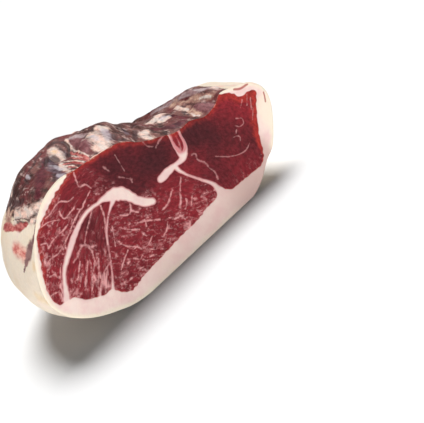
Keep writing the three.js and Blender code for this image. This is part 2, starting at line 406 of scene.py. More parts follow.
@dataclass
class CutPlan:
    """The flat plan of the cut: its outlines, seams and streaks, and the triangles in it."""

    outline: tuple[Spot, ...] = (
        (-45.0, 114.9), (-57.9, 117.8), (-73.3, 115.4), (-86.5, 108.6), (-100.0, 96.3),
        (-112.5, 78.4), (-120.0, 59.8), (-120.3, 45.3), (-113.4, 30.7), (-99.4, 18.2),
        (-82.2, 9.3), (-63.7, 3.0), (-33.2, 0.5), (6.9, 1.0), (44.7, 0.0), (61.9, 1.5),
        (76.3, 7.4), (88.1, 16.1), (99.8, 22.4), (111.2, 36.7), (118.8, 50.7),
        (120.3, 63.3), (112.9, 74.8), (99.2, 80.9), (86.3, 84.5), (77.2, 80.0),
        (64.9, 78.4), (52.4, 83.8), (39.6, 84.2), (24.8, 90.2), (9.2, 97.8),
        (-4.1, 107.9), (-24.5, 112.4),
    )
    meat: tuple[Spot, ...] = (
        (-53.7, 115.4), (-65.5, 111.9), (-80.1, 106.0), (-91.4, 100.4), (-99.4, 93.9),
        (-105.7, 82.1), (-113.2, 67.4), (-116.8, 55.0), (-115.9, 45.8), (-110.4, 42.4),
        (-103.1, 41.4), (-97.4, 34.1), (-89.8, 29.3), (-83.3, 26.2), (-75.8, 24.9),
        (-70.7, 18.2), (-62.8, 13.4), (-49.1, 15.8), (-30.7, 17.0), (-8.0, 18.8),
        (10.7, 19.1), (23.8, 21.3), (34.9, 22.0), (38.0, 24.7), (42.7, 25.8),
        (49.5, 18.9), (61.7, 17.8), (74.0, 17.1), (83.0, 17.0), (89.7, 22.8),
        (94.8, 35.8), (103.9, 52.4), (113.0, 65.9), (107.9, 69.8), (103.7, 70.2),
        (98.9, 71.4), (96.7, 74.6), (93.6, 79.4), (87.2, 82.8), (80.0, 90.0),
        (60.0, 102.0), (36.0, 112.0), (5.0, 135.0), (-30.0, 142.0), (-48.0, 125.0),
    )
    # Centre lines of the fat seams, with half their width at each point
    seams: dict[str, tuple[tuple[float, float, float], ...]] = field(default_factory=lambda: {
        "arc": (
            (-9.4, 55.5, 2.9), (-14.9, 59.5, 3.6), (-19.2, 65.0, 3.5), (-22.5, 71.7, 4.2),
            (-27.2, 77.9, 5.4), (-33.2, 81.0, 4.8), (-39.7, 83.1, 2.6), (-46.1, 83.6, 1.5),
            (-51.8, 84.2, 1.6), (-58.4, 83.8, 1.7), (-65.1, 81.7, 1.8), (-71.7, 78.6, 2.2),
            (-78.4, 74.8, 2.5), (-84.2, 71.0, 2.4), (-90.4, 66.8, 2.2), (-96.3, 62.3, 1.8),
            (-100.9, 56.6, 1.7), (-104.5, 50.1, 2.3), (-109.1, 42.4, 3.0), (-111.3, 37.9, 3.4),
        ),
        "thin": (
            (-32.6, 79.2, 2.6), (-34.6, 77.4, 2.3), (-39.2, 74.5, 1.1), (-44.7, 70.7, 0.6),
            (-50.1, 65.6, 0.8), (-54.0, 61.1, 0.9), (-57.3, 55.1, 0.8), (-61.1, 47.7, 0.5),
            (-64.8, 41.0, 0.5), (-68.6, 34.4, 0.7), (-72.5, 28.8, 1.1), (-76.7, 22.5, 2.0),
            (-79.3, 18.2, 2.4),
        ),
        "wedge": (
            (-63.2, 42.6, 0.4), (-71.5, 40.4, 0.4), (-77.7, 36.5, 0.5), (-82.1, 32.3, 0.7),
            (-88.0, 26.5, 1.3), (-91.0, 22.0, 1.6),
        ),
        "side": (
            (21.5, 64.8, 2.3), (22.6, 59.5, 1.6), (25.5, 53.3, 1.0), (29.6, 47.1, 0.9),
            (34.4, 40.1, 1.2), (38.8, 33.8, 1.6), (40.6, 27.0, 2.8), (41.5, 19.2, 4.6),
        ),
        "hub": (
            (6.1, 64.5, 3.0), (10.0, 64.7, 3.4), (15.1, 65.1, 3.2), (20.3, 65.1, 2.5),
            (24.7, 64.8, 1.9), (30.2, 64.9, 2.8), (33.7, 66.8, 2.9),
        ),
        "right_prong": (
            (33.6, 66.8, 2.6), (37.6, 70.4, 1.6), (39.0, 74.7, 1.1), (39.4, 79.0, 0.9),
            (40.0, 83.3, 0.9), (40.4, 87.1, 1.0),
        ),
        "left_prong": (
            (30.9, 65.9, 2.6), (30.9, 71.4, 2.0), (30.6, 76.3, 1.4), (30.8, 80.5, 1.0),
            (31.5, 84.3, 0.8), (32.3, 90.1, 0.8),
        ),
    })
    streaks: tuple[Streak, ...] = (
        Streak(((-51, 84), (-57, 79), (-63, 75), (-68, 71), (-72, 67)), 0.9),
        Streak(((-72, 67), (-78, 66), (-83, 63), (-87, 62)), 1.1),
        Streak(((-72, 67), (-71, 60), (-72, 56), (-74, 51), (-79, 46)), 1.0),
        Streak(((-75, 68), (-72, 65), (-70, 62), (-66, 60)), 1.5),
        Streak(((-45, 81), (-47, 74), (-50, 68), (-54, 63)), 0.8),
        Streak(((-83, 59), (-88, 54), (-94, 48))),
        Streak(((-78, 55), (-84, 49), (-91, 42))),
        Streak(((-70, 51), (-75, 44), (-81, 37))),
        Streak(((-25, 67), (-28, 62), (-32, 61), (-37, 65)), 1.0),
        Streak(((-28, 62), (-24, 57)), 0.8),
        Streak(((-43, 58), (-37, 51), (-31, 46)), 0.9),
        Streak(((-29, 51), (-22, 47), (-13, 41)), 1.0),
        Streak(((-23, 49), (-25, 44)), 0.7),
        Streak(((-49, 47), (-46, 42), (-40, 37)), 0.8),
        Streak(((-41, 29), (-44, 28), (-48, 32)), 1.0),
        Streak(((-48, 40), (-55, 36), (-61, 32)), 0.8),
        Streak(((-47, 63), (-50, 56), (-54, 49)), 0.7),
        Streak(((-26, 35), (-32, 32), (-37, 33)), 0.8),
        Streak(((9, 52), (3, 48), (-1, 46), (-8, 45)), 0.9),
        Streak(((20, 54), (17, 51), (14, 47)), 0.9),
        Streak(((12, 45), (10, 41), (6, 37)), 1.2),
        Streak(((14, 39), (12, 35), (9, 33)), 1.0),
        Streak(((19, 37), (15, 32)), 1.0),
        Streak(((-3, 33), (2, 31), (4, 27)), 0.8),
        Streak(((-9, 35), (-13, 31), (-18, 29)), 0.7),
        Streak(((38, 62), (41, 61), (40, 56), (44, 50), (44, 45), (46, 39), (45, 33)), 0.9),
        Streak(((54, 48), (64, 40), (72, 36), (79, 35), (84, 37)), 0.6),
        Streak(((86, 60), (90, 57), (89, 53), (85, 53), (82, 56)), 0.6),
        Streak(((75, 50), (78, 49), (80, 47), (79, 44)), 0.6),
        Streak(((81, 53), (79, 51)), 0.6),
        Streak(((105, 69), (100, 62)), 0.6),
        Streak(((106, 65), (101, 57)), 0.6),
        Streak(((103, 57), (97, 50)), 0.6),
        Streak(((99, 68), (94, 64)), 0.6),
        Streak(((-20, 88), (-14, 81), (-14, 78)), 0.8),
        Streak(((-13, 103), (-14, 89)), 0.6),
        Streak(((-26, 102), (-24, 97)), 0.9),
        Streak(((11, 100), (12, 92), (16, 88)), 0.8),
        Streak(((17, 86), (21, 88), (27, 89), (32, 87), (32, 82)), 0.8),
        Streak(((36, 82), (35, 76), (33, 71), (30, 68)), 0.9),
        Streak(((-47, 114), (-49, 107), (-50, 103), (-45, 101), (-43, 96)), 0.8),
        Streak(((-99, 89), (-95, 87), (-96, 83), (-92, 85), (-84, 86), (-79, 86), (-74, 87))),
        Streak(((-104, 75), (-99, 76), (-94, 75), (-90, 76), (-86, 77)), 0.9),
        Streak(((-86, 77), (-79, 80), (-70, 85), (-65, 87), (-60, 89))),
        Streak(((-85, 102), (-80, 102), (-73, 104), (-68, 104), (-63, 100), (-58, 100)), 0.7),
        Streak(((-73, 99), (-74, 95), (-73, 92), (-65, 93), (-61, 94)), 0.7),
        Streak(((-61, 91), (-58, 89), (-54, 91), (-45, 95)), 0.7),
        Streak(((-91, 99), (-84, 98), (-77, 94)), 0.6),
        Streak(((-95, 68), (-100, 63), (-104, 55)), 0.6),
        Streak(((-108, 66), (-104, 65), (-104, 62)), 0.9),
        Streak(((-114, 54), (-109, 52), (-111, 45)), 0.9),
        Streak(((98, 79), (103, 76), (110, 75)), 0.9),
        Streak(((118, 61), (117, 58), (115, 54)), 0.6),
    )
    spacing: float = 0.85
    # Spacing of the rim's points in the crust and elsewhere, and the crust's two ends
    rim_spacing: Spot = (1.0, 1.9)
    crust: Spot = (-148.0, 53.0)
    floor_line: float = 1.534

    spots: Array = field(init=False)
    triangles: Array = field(init=False)
    owner: Array = field(init=False)
    rim: Array = field(init=False)
    rim_line: Array = field(init=False)

    def rim_points(self) -> Array:
        """Points of the rim, closer together along the crust of the top than elsewhere.

        They are equal steps along the sum of each short span over the spacing wanted
        there. Distances round the rim start at the top and are negative on the right.

        Returns:
            One row of x and z for each point.
        """
        step = 0.4
        line = smooth_line(np.array(self.outline), step, True)
        run = np.arange(len(line)) * step
        length = run[-1] + step
        around = np.where(run > length / 2, run - length, run)
        inside = np.minimum(around - self.crust[0], self.crust[1] - around)
        spacing = np.interp(inside, [-30.0, -15.0], self.rim_spacing[::-1])
        count = np.concatenate([[0.0], np.cumsum(step / spacing)])
        stops = np.linspace(0.0, count[-1], round(count[-1]) + 1)[:-1]
        ring = np.vstack([line, line[:1]])
        rim = np.column_stack([np.interp(stops, count, column) for column in ring.T])
        rim[:, 1] = np.maximum(rim[:, 1], self.floor_line)
        return rim

    def lines(self) -> tuple[Array, Array, dict[str, Array]]:
        """Draw the smooth outlines, with a small natural wander on the inner ones.

        Returns:
            The rim, the edge of the meat, and the outline of each seam.
        """
        rim = self.rim_points()
        meat = smooth_line(np.array(self.meat), 1.1, True)
        run = np.arange(len(meat)) * 1.1
        swing = 0.3 * wander(run, run[-1] + 1.1, (4.0, 14.0), 3)
        meat = meat + sideways(meat, True) * swing[:, None]
        seams = {}
        for seed, (name, points) in enumerate(self.seams.items()):
            line = smooth_line(np.array(points), 1.0, False)
            run = np.arange(len(line)) * 1.0
            swing = 0.05 * wander(run, run[-1] * 2, (5.0, 12.0), 20 + seed) * line[:, 2]
            left = np.maximum(line[:, 2] + swing, 0.35)
            right = np.maximum(line[:, 2] - swing, 0.35)
            square = sideways(line[:, :2], False)
            turn = np.linspace(0.0, pi, 7)[1:-1, None]
            ahead = np.column_stack([square[:, 1], -square[:, 0]])
            last = line[-1, :2] + left[-1] * (square[-1] * np.cos(turn) + ahead[-1] * np.sin(turn))
            first = line[0, :2] - left[0] * (square[0] * np.cos(turn) + ahead[0] * np.sin(turn))
            seams[name] = np.vstack([
                line[:, :2] + square * left[:, None], last,
                (line[:, :2] - square * right[:, None])[::-1], first,
            ])
        return rim, meat, seams

    def streak_lines(self) -> list[tuple[Array, float]]:
        """Smooth centre line of each streak, with half its width."""
        return [
            (smooth_line(np.array(streak.points, float), self.spacing, False), streak.half)
            for streak in self.streaks
        ]

    def fill(self, rim: Array, lines: list[Array], streaks: list[Array]) -> Array:
        """Scatter points over the cut on a shaken lattice of equal triangles.

        Rings of points lie just inside the rim, for its rounded edge. Lattice points
        too near to a line or to the rim are dropped.

        Args:
            rim: Outline of the cut.
            lines: Closed lines that the triangles have to follow.
            streaks: Centre lines of the streaks.

        Returns:
            The points, one row of x and z each.
        """
        step = self.spacing
        columns = np.arange(-125.0, 125.0, step)
        rows = np.arange(0.0, 122.0, step * 0.866)
        x, z = np.meshgrid(columns, rows)
        x = x + (np.arange(len(rows)) % 2)[:, None] * step / 2
        spots = np.column_stack([x.ravel(), z.ravel()])
        spots = spots + np.random.default_rng(5).uniform(-0.16, 0.16, spots.shape) * step
        spots = spots[within(spots, ring_edges(rim))]
        square = sideways(rim, True)
        inward = square if within(rim[:1] + square[:1] * 0.1, ring_edges(rim))[0] else -square
        rings = [rim + inward * gap for gap in (0.35, 0.95)]
        spots = spots[beside(spots, rim, True).off > 1.5]
        for line in lines:
            spots = spots[beside(spots, line, True).off > 0.5 * step]
        for line in streaks:
            spots = spots[beside(spots, line).off > 0.55 * step]
        return np.vstack([spots, *rings, *streaks])

    def triangulate(self) -> None:
        """Lay the triangles of the cut and sort them into fat and the separate muscles."""
        rim, meat, seams = self.lines()
        closed = [rim, meat, *seams.values()]
        streaks = [line for line, _ in self.streak_lines()]
        filling = self.fill(rim, closed[1:], streaks)
        filling = filling[beside(filling, meat, True).off > 0.3]
        starts = np.cumsum([0] + [len(line) for line in closed])
        edges = [
            (int(a), int(b)) for start, line in zip(starts, closed)
            for a, b in zip(
                range(start, start + len(line)), [*range(start + 1, start + len(line)), start]
            )
        ]
        points = [Vector(row) for row in np.vstack([*closed, filling]).tolist()]
        made = delaunay_2d_cdt(points, edges, [], 0, 0.05, False)
        spots = np.array([tuple(v) for v in made[0]])
        triangles = np.array(made[2], int)
        a, b, c = (spots[triangles[:, i]] for i in range(3))
        turn = (b[:, 0] - a[:, 0]) * (c[:, 1] - a[:, 1]) - (b[:, 1] - a[:, 1]) * (c[:, 0] - a[:, 0])
        triangles = np.where((turn < 0)[:, None], triangles[:, ::-1], triangles)
        middle = spots[triangles].mean(axis=1)
        keep = within(middle, ring_edges(rim)) & (np.abs(turn) > 1e-7)
        triangles, middle = triangles[keep], middle[keep]
        lean = within(middle, ring_edges(meat))
        for line in seams.values():
            lean &= ~within(middle, ring_edges(line))
        self.owner = self.label(triangles, lean)
        used, packed = np.unique(triangles, return_inverse=True)
        self.spots, self.triangles = spots[used], packed.reshape(-1, 3)
        border = np.unique(open_edges(self.triangles))
        place = beside(self.spots[border], rim, True).along
        self.rim = border[np.argsort(place)]
        self.rim_line = rim

    def label(self, triangles: Array, lean: Array) -> Array:
        """Number the muscles: lean triangles that share edges take the lowest number among them.

        Args:
            triangles: Corners of the triangles of the cut.
            lean: True for each triangle of lean.

        Returns:
            For each triangle the place of its muscle in Muscle, or -1 for fat.
        """
        sides = np.concatenate([triangles[:, [0, 1]], triangles[:, [1, 2]], triangles[:, [2, 0]]])
        sides = np.sort(sides, axis=1)
        face = np.tile(np.arange(len(triangles)), 3)
        order = np.lexsort((sides[:, 1], sides[:, 0]))
        sides, face = sides[order], face[order]
        same = (sides[1:] == sides[:-1]).all(axis=1)
        pair = np.column_stack([face[:-1][same], face[1:][same]])
        pair = pair[lean[pair[:, 0]] & lean[pair[:, 1]]]
        number = np.arange(len(triangles))
        while True:
            low = np.minimum(number[pair[:, 0]], number[pair[:, 1]])
            fresh = number.copy()
            np.minimum.at(fresh, pair[:, 0], low)
            np.minimum.at(fresh, pair[:, 1], low)
            fresh = fresh[fresh]
            if (fresh == number).all():
                break
            number = fresh
        names, counts = np.unique(number[lean], return_counts=True)
        largest = names[np.argsort(-counts)][: len(Muscle)]
        owner = np.full(len(triangles), -1)
        for place, name in enumerate(largest):
            owner[lean & (number == name)] = place
        return owner


@dataclass
class CutValues:
    """Values of the cut's points that its finishes read."""

    plan: CutPlan
    # Middle, reach and strength of the brighter (or, if negative, darker) parts of the lean
    glows: tuple[tuple[float, float, float, float], ...] = (
        (5.0, 38.0, 22.0, 0.3), (-60.0, 98.0, 24.0, -0.1), (-95.0, 70.0, 26.0, 0.3),
        (-10.0, 92.0, 26.0, -0.8), (20.0, 78.0, 18.0, -0.7), (70.0, 45.0, 30.0, -0.55),
        (-72.0, 72.0, 14.0, -0.3), (104.0, 58.0, 14.0, 0.6), (-50.0, 28.0, 20.0, 0.2),
        (70.0, 22.0, 14.0, 0.2), (-80.0, 50.0, 16.0, 0.2), (62.0, 74.0, 20.0, -0.6),
        (12.0, 84.0, 14.0, -0.7), (47.0, 76.0, 12.0, -0.8), (86.0, 74.0, 14.0, 0.5),
    )
    # The same for the pink prongs of the hub and the red lean between them
    prongs: tuple[float, float, float, float] = (36.0, 78.0, 10.0, 3.6)

    def fatness(self) -> Array:
        """Distance from the edge between fat and lean, positive in the fat, up to 6 mm."""
        plan = self.plan
        lean = plan.triangles[plan.owner >= 0]
        edges = open_edges(lean)
        inner = ~(np.isin(edges, plan.rim).all(axis=1))
        edges = edges[inner]
        ends = plan.spots[edges]
        off = np.full(len(plan.spots), 6.0)
        for block in np.array_split(np.arange(len(plan.spots)), 40):
            gap = plan.spots[block, None] - ends[:, 0]
            step = ends[:, 1] - ends[:, 0]
            foot = np.clip((gap * step).sum(-1) / (step**2).sum(-1), 0.0, 1.0)
            away = np.hypot(*np.moveaxis(gap - foot[..., None] * step, -1, 0))
            off[block] = np.minimum(away.min(axis=1), 6.0)
        in_lean = np.zeros(len(plan.spots), bool)
        in_lean[lean.ravel()] = True
        off[np.unique(edges)] = 0.0
        return np.where(in_lean, -off, off)

    def veins(self) -> Array:
        """Strength of the streaks: 1 on a streak's line, falling evenly to 0 at twice its half width."""
        strength = np.zeros(len(self.plan.spots))
        for line, half in self.plan.streak_lines():
            low, high = line[:, :2].min(axis=0) - 3, line[:, :2].max(axis=0) + 3
            near = ((self.plan.spots > low) & (self.plan.spots < high)).all(axis=1)
            off = beside(self.plan.spots[near], line).off
            strength[near] = np.maximum(strength[near], 1.0 - off / (2.0 * half))
        return strength

    def flow(self) -> tuple[Array, Array]:
        """Distance across and along the run of the meat's grain.

        Outside the arc on the left the grain follows the arc, and inside it the thin seam.
        In the middle it slopes down to the right, and beyond the side seam it follows that.

        Returns:
            The distances across and along, in mm.
        """
        spots = self.plan.spots
        x, z = spots.T
        seams = self.plan.seams
        arc = beside(spots, smooth_line(np.array(seams["arc"]), 2.0, False))
        left = np.array(seams["thin"])[:, :2]
        left = smooth_line(np.vstack([left[0] + (18, 26), left[1::2], left[-1] - (12, 20)]), 3.0, False)
        right = np.array(seams["side"])[:, :2]
        right = smooth_line(np.vstack([right[0] + (-4, 30), right[1::2], right[-1] + (2, -20)]), 3.0, False)
        thin, side = beside(spots, left), beside(spots, right)
        main = self.of_muscle(Muscle.MAIN)
        outside = main & (arc.side < 0) & (x < -38.0)
        middle = main & ~outside
        cases = [outside, middle, x < 0.0]
        across = np.select(cases, [arc.off, 0.5 * x + 0.866 * z, thin.off * thin.side], side.off * side.side)
        along = np.select(cases, [arc.along, 0.866 * x - 0.5 * z, z - 0.35 * x], z - 0.35 * x)
        return across, along

    def of_muscle(self, muscle: Muscle) -> Array:
        """True for each point of the cut that the muscle has."""
        place = list(Muscle).index(muscle)
        found = np.zeros(len(self.plan.spots), bool)
        found[self.plan.triangles[self.plan.owner == place].ravel()] = True
        return found

    def marble(self) -> Array:
        """How much fat runs through the lean, from 0 to 1, and more in the wedge."""
        x, z = self.plan.spots.T
        line = np.interp(x, [-50, -36, -28, -20, 6, 40], [130, 116, 94, 74, 62, 56])
        amount = 0.5 - 0.2 * ease(z, 24.0, 40.0) + 0.22 * ease(-x, 62.0, 78.0)
        amount = amount - 0.15 * ease(x, -14.0, 0.0) * ease(z, 30.0, 44.0)
        amount = amount * ease(line - z, -6.0, 10.0) * (1.0 - 0.5 * ease(z, 84.0, 100.0))
        amount = np.where(self.of_muscle(Muscle.SIDE), 0.04 + 0.1 * ease(34.0 - z, 0.0, 14.0), amount)
        tongue = 0.14 + 0.5 * ease(62.0 - z, 0.0, 16.0)
        amount = np.where(self.of_muscle(Muscle.TONGUE), tongue, amount)
        return np.where(self.of_muscle(Muscle.WEDGE), 1.1, amount)

    def glow(self) -> Array:
        """Brightness of the lean: a sum of bells exp(-(distance/reach)^2) times their strength.

        The bell of the prongs leaves out the large muscles on both sides of them.
        """
        x, z = self.plan.spots.T
        bells = [
            strength * np.exp(-((x - at_x) ** 2 + (z - at_z) ** 2) / reach**2)
            for at_x, at_z, reach, strength in (*self.glows, self.prongs)
        ]
        beside_them = self.of_muscle(Muscle.MAIN) | self.of_muscle(Muscle.SIDE)
        return sum(bells[:-1]) + np.where(beside_them, 0.0, bells[-1])

    def shade(self) -> Array:
        """Painted shade on the fat below the meat, deepest under its right half.

        It is negative in the creamy fat at the right end, where it makes the fat lighter and creamier.
        """
        x, z = self.plan.spots.T
        low = (1.0 - ease(z, 24.0, 50.0)) * ease(104.0 - x, 0.0, 14.0)
        dark = low * (0.45 * ease(x, -70.0, -25.0) + 0.55 * ease(x, 30.0, 70.0))
        return dark - ease(x, 98.0, 110.0) * ease(z, 28.0, 40.0) * ease(66.0 - z, 0.0, 10.0)

    def edge(self) -> Array:
        """Distance from the rim of the cut, up to 12 mm."""
        return np.minimum(beside(self.plan.spots, self.plan.rim_line, True).off, 12.0)

    def bark(self) -> Array:
        """Depth inside the outer edge of the meat in mm, negative outside it.

        Low down 8 mm are added to it, and at the right end 3 mm are taken off.
        """
        x, z = self.plan.spots.T
        meat = self.plan.lines()[1]
        off = np.minimum(beside(self.plan.spots, meat, True).off, self.edge())
        inside = within(self.plan.spots, ring_edges(meat))
        right = ease(x, 80.0, 92.0)
        more = 8.0 * ease(75.0 - z, 0.0, 35.0) * (1.0 - right) - 3.0 * right
        return np.clip(np.where(inside, off + more * ease(off, 0.0, 2.0), -off), -12.0, 12.0)

    def all(self) -> dict[str, Array]:
        """Every value by its name in the mesh."""
        across, along = self.flow()
        return {
            "cut_fat": self.fatness(), "cut_vein": self.veins(), "cut_across": across,
            "cut_along": along, "cut_marble": self.marble(), "cut_glow": self.glow(),
            "cut_edge": self.edge(), "cut_bark": self.bark(), "cut_painted_shade_and_cream": self.shade(),
        }


@dataclass
class Outside:
    """The outer surface: a grid of points round the rim and back, with its relief and patches.

    Lumps and patches are laid out in mm round the rim from the top, positive down the
    rounded end, and in mm behind the cut.
    """

    form: HamForm
    plan: CutPlan
    shares: Array
    lumps: tuple[Lump, ...] = (
        Lump((-33.0, 15.0), (9.0, 10.0), 2.4), Lump((-47.0, 36.0), (10.0, 10.0), 1.6),
        Lump((-24.0, 20.0), (7.0, 12.0), 1.6), Lump((-12.0, 50.0), (7.0, 9.0), 1.8),
        Lump((-12.0, 18.0), (10.0, 12.0), -1.2), Lump((-45.0, 12.0), (2.5, 14.0), -2.0),
        Lump((-55.0, 14.0), (9.0, 12.0), 1.8), Lump((-66.0, 12.0), (3.0, 14.0), -1.6),
        Lump((-72.0, 11.0), (6.0, 8.0), 1.2), Lump((-102.0, 42.0), (12.0, 9.0), 2.5),
        Lump((-95.0, 18.0), (14.0, 7.0), 1.0), Lump((-112.0, 28.0), (10.0, 3.0), -1.2),
        Lump((-128.0, 13.0), (6.0, 10.0), 1.8), Lump((42.0, 15.0), (8.0, 14.0), 0.8),
        Lump((58.0, 40.0), (3.0, 24.0), -1.0), Lump((72.0, 25.0), (8.0, 12.0), 0.6),
        Lump((12.0, 80.0), (14.0, 28.0), -3.8), Lump((42.0, 86.0), (14.0, 30.0), -4.3),
        Lump((-21.0, 74.0), (9.0, 20.0), 3.2), Lump((-41.0, 72.0), (8.0, 24.0), -4.0),
        Lump((-57.0, 41.0), (8.0, 14.0), 1.2), Lump((-67.0, 40.0), (6.0, 14.0), -2.0),
        Lump((-78.0, 44.0), (7.0, 12.0), 1.8), Lump((-145.0, 102.0), (16.0, 22.0), -4.8),
        Lump((-143.0, 66.0), (13.0, 18.0), -2.4), Lump((-158.0, 42.0), (9.0, 12.0), 2.0),
        Lump((134.0, 28.0), (16.0, 20.0), 3.4),
    )
    patches: tuple[Patch, ...] = (
        Patch(Tone.MAROON, 6.0, ((12, 36), (21, 20), (31, 9))),
        Patch(Tone.MAROON, 3.2, ((-1, 54), (8, 39), (18, 29))),
        Patch(Tone.MAROON, 4.4, ((-82, 15), (-89, 14), (-93, 9), (-101, 6))),
        Patch(Tone.MAROON, 4.4, ((-109, 30), (-109, 13))),
        Patch(Tone.LOBE, 6.0, ((-30, 50), (-28, 33), (-21, 13))),
        Patch(Tone.LOBE, 5.6, ((-125, 21), (-127, 9), (-128, 2))),
        Patch(Tone.LILAC, 3.0, ((-135, 94), (-135, 75), (-135, 49), (-141, 26), (-145, 16))),
        Patch(Tone.LILAC, 2.8, ((-31, 55), (-35, 48), (-35, 39))),
        Patch(Tone.PURPLE, 4.8, ((-3, 50), (5, 24), (12, 3))),
        Patch(Tone.PURPLE, 2.8, ((-14, 51), (-15, 45))),
        Patch(Tone.PURPLE, 2.6, ((-63, 26), (-58, 14))),
        Patch(Tone.BEIGE, 3.4, ((-132, 61), (-130, 46), (-131, 36), (-134, 26), (-136, 16), (-139, 7))),
        Patch(Tone.BEIGE, 2.8, ((-125, 33), (-120, 22), (-118, 9))),
        Patch(Tone.BEIGE, 5.0, ((51, 74), (52, 50))),
        Patch(Tone.CREAM, 5.6, ((38, 0), (44, 9), (48, 25), (51, 38))),
        Patch(Tone.CREAM, 3.4, ((47, 0), (51, 7))),
        Patch(Tone.CREAM, 4.6, ((-12, 57), (-11, 50), (-9, 42))),
        Patch(Tone.CREAM, 2.0, ((-3, 28), (3, 14), (4, 2))),
        Patch(Tone.CREAM, 1.6, ((-27, 57), (-24, 51), (-23, 46))),
        Patch(Tone.CREAM, 7.0, ((-37, 28), (-36, 20), (-32, 8))),
        Patch(Tone.CREAM, 4.4, ((-45, 32), (-51, 29))),
        Patch(Tone.CREAM, 4.0, ((-25, 6), (-30, 2))),
        Patch(Tone.CREAM, 4.0, ((-69, 11), (-75, 14))),
        Patch(Tone.CREAM, 3.2, ((-66, 7), (-70, 2))),
        Patch(Tone.CREAM, 4.4, ((-93, 38), (-100, 37), (-107, 39))),
        Patch(Tone.CREAM, 3.0, ((-96, 31), (-104, 29))),
        Patch(Tone.CREAM, 1.9, ((-125, 49), (-124, 39), (-123, 31))),
        Patch(Tone.CREAM, 1.0, ((-119, 20), (-117, 13), (-118, 8))),
        Patch(Tone.CREAM, 1.3, ((-134, 22), (-136, 14), (-137, 9))),
        Patch(Tone.CREAM, 3.6, ((-147, 14), (-156, 13), (-158, 2))),
        Patch(Tone.CREAM, 0.9, ((-15, 0), (-24, 0), (-31, 0))),
        Patch(Tone.CREAM, 0.9, ((-23, 45), (-18, 22), (-16, 5))),
        Patch(Tone.CREAM, 0.9, ((-14, 29), (-13, 9))),
        Patch(Tone.CREAM, 0.9, ((-6, 28), (-8, 18), (-10, 2))),
        Patch(Tone.CREAM, 0.9, ((0, 20), (-4, 10), (-3, 0))),
        Patch(Tone.CREAM, 0.9, ((3, 14), (2, 3), (0, 0))),
        # Dark patches along creases and grooves: dark crust with painted shade in the creases
        Patch(Tone.DARK, 1.8, ((-13, 66), (-20, 63), (-24, 57), (-23, 51), (-21, 48), (-16, 42))),
        Patch(Tone.DARK, 2.0, ((-7, 51), (-6, 41))),
        Patch(Tone.DARK, 2.0, ((-4, 55), (3, 46))),
        Patch(Tone.DARK, 2.0, ((17, 3), (11, 13))),
        Patch(Tone.DARK, 2.8, ((42, 58), (41, 38), (38, 30))),
        Patch(Tone.DARK, 1.4, ((17, 57), (9, 56), (1, 64), (-5, 65))),
        Patch(Tone.DARK, 1.3, ((22, 54), (25, 37))),
        Patch(Tone.DARK, 2.4, ((-48, 16), (-43, 7), (-49, 5))),
        Patch(Tone.DARK, 1.8, ((-70, 22), (-58, 5))),
        Patch(Tone.DARK, 1.8, ((-84, 38), (-88, 36))),
        Patch(Tone.DARK, 1.2, ((-72, 28), (-80, 37))),
        Patch(Tone.DARK, 0.8, ((54, 44), (51, 25))),
        Patch(Tone.DARK, 1.3, ((55, 33), (53, 22), (53, 13))),
        Patch(Tone.RED, 3.4, ((62, 68), (60, 42), (57, 26), (54, 16))),
        Patch(Tone.RED, 1.4, ((-20, 44), (-16, 21), (-14, 2))),
        Patch(Tone.RED, 0.9, ((-12, 25), (-12, 10), (-12, 0))),
        Patch(Tone.RED, 1.3, ((-3, 23), (-7, 15), (-8, 1))),
        Patch(Tone.RED, 0.9, ((-2, 13), (-4, 3))),
        Patch(Tone.SALMON, 5.6, ((74, 35), (75, 23), (76, 14))),
        Patch(Tone.MOULD, 1.6, ((2, 40), (2, 30), (4, 12))),
        Patch(Tone.MOULD, 2.0, ((11, 7), (11, 0))),
        Patch(Tone.MOULD, 2.4, ((-101, 32), (-106, 31))),
        Patch(Tone.MOULD, 3.6, ((-47, 26), (-38, 9))),
        Patch(Tone.MOULD, 3.0, ((-35, 24), (-32, 12))),
        Patch(Tone.MOULD, 2.0, ((19, 53), (20, 44))),
        Patch(Tone.YELLOW, 2.0, ((-11, 55), (-11, 53))),
        Patch(Tone.YELLOW, 2.4, ((82, 3), (85, 3))),
        Patch(Tone.YELLOW, 4.0, ((108, 12), (112, 0))),
        Patch(Tone.SLIT, 1.2, ((53, 0), (62, 1))),
        Patch(Tone.SLIT, 2.6, ((62, 1), (69, 5))),
        Patch(Tone.SLIT, 5.0, ((68, 6), (76, 11))),
        Patch(Tone.SLIT, 2.8, ((76, 11), (82, 16))),
        Patch(Tone.SLIT, 1.2, ((82, 16), (89, 22))),
    )
    # How far behind the cut the crust ends
    crust_back: float = 138.0
    # How far each tone stands out, or lies in
    rises: dict[Tone, float] = field(default_factory=lambda: {
        Tone.CREAM: 0.35, Tone.LOBE: 1.0, Tone.DARK: -0.9, Tone.RED: -0.4, Tone.SLIT: -0.8,
    })
    # Tones, number and seed of the patches of the hidden back
    far_tones: tuple[Tone, ...] = (
        Tone.MAROON, Tone.CREAM, Tone.DARK, Tone.MOULD, Tone.LILAC, Tone.CREAM,
    )
    far_count: int = 34
    far_seed: int = 41

    bare: Array = field(init=False)
    grid: Array = field(init=False)
    normal: Array = field(init=False)
    raised: Array = field(init=False)
    crust: Array = field(init=False)
    around: Array = field(init=False)
    behind: Array = field(init=False)
    toned: dict[Tone, Array] = field(init=False)

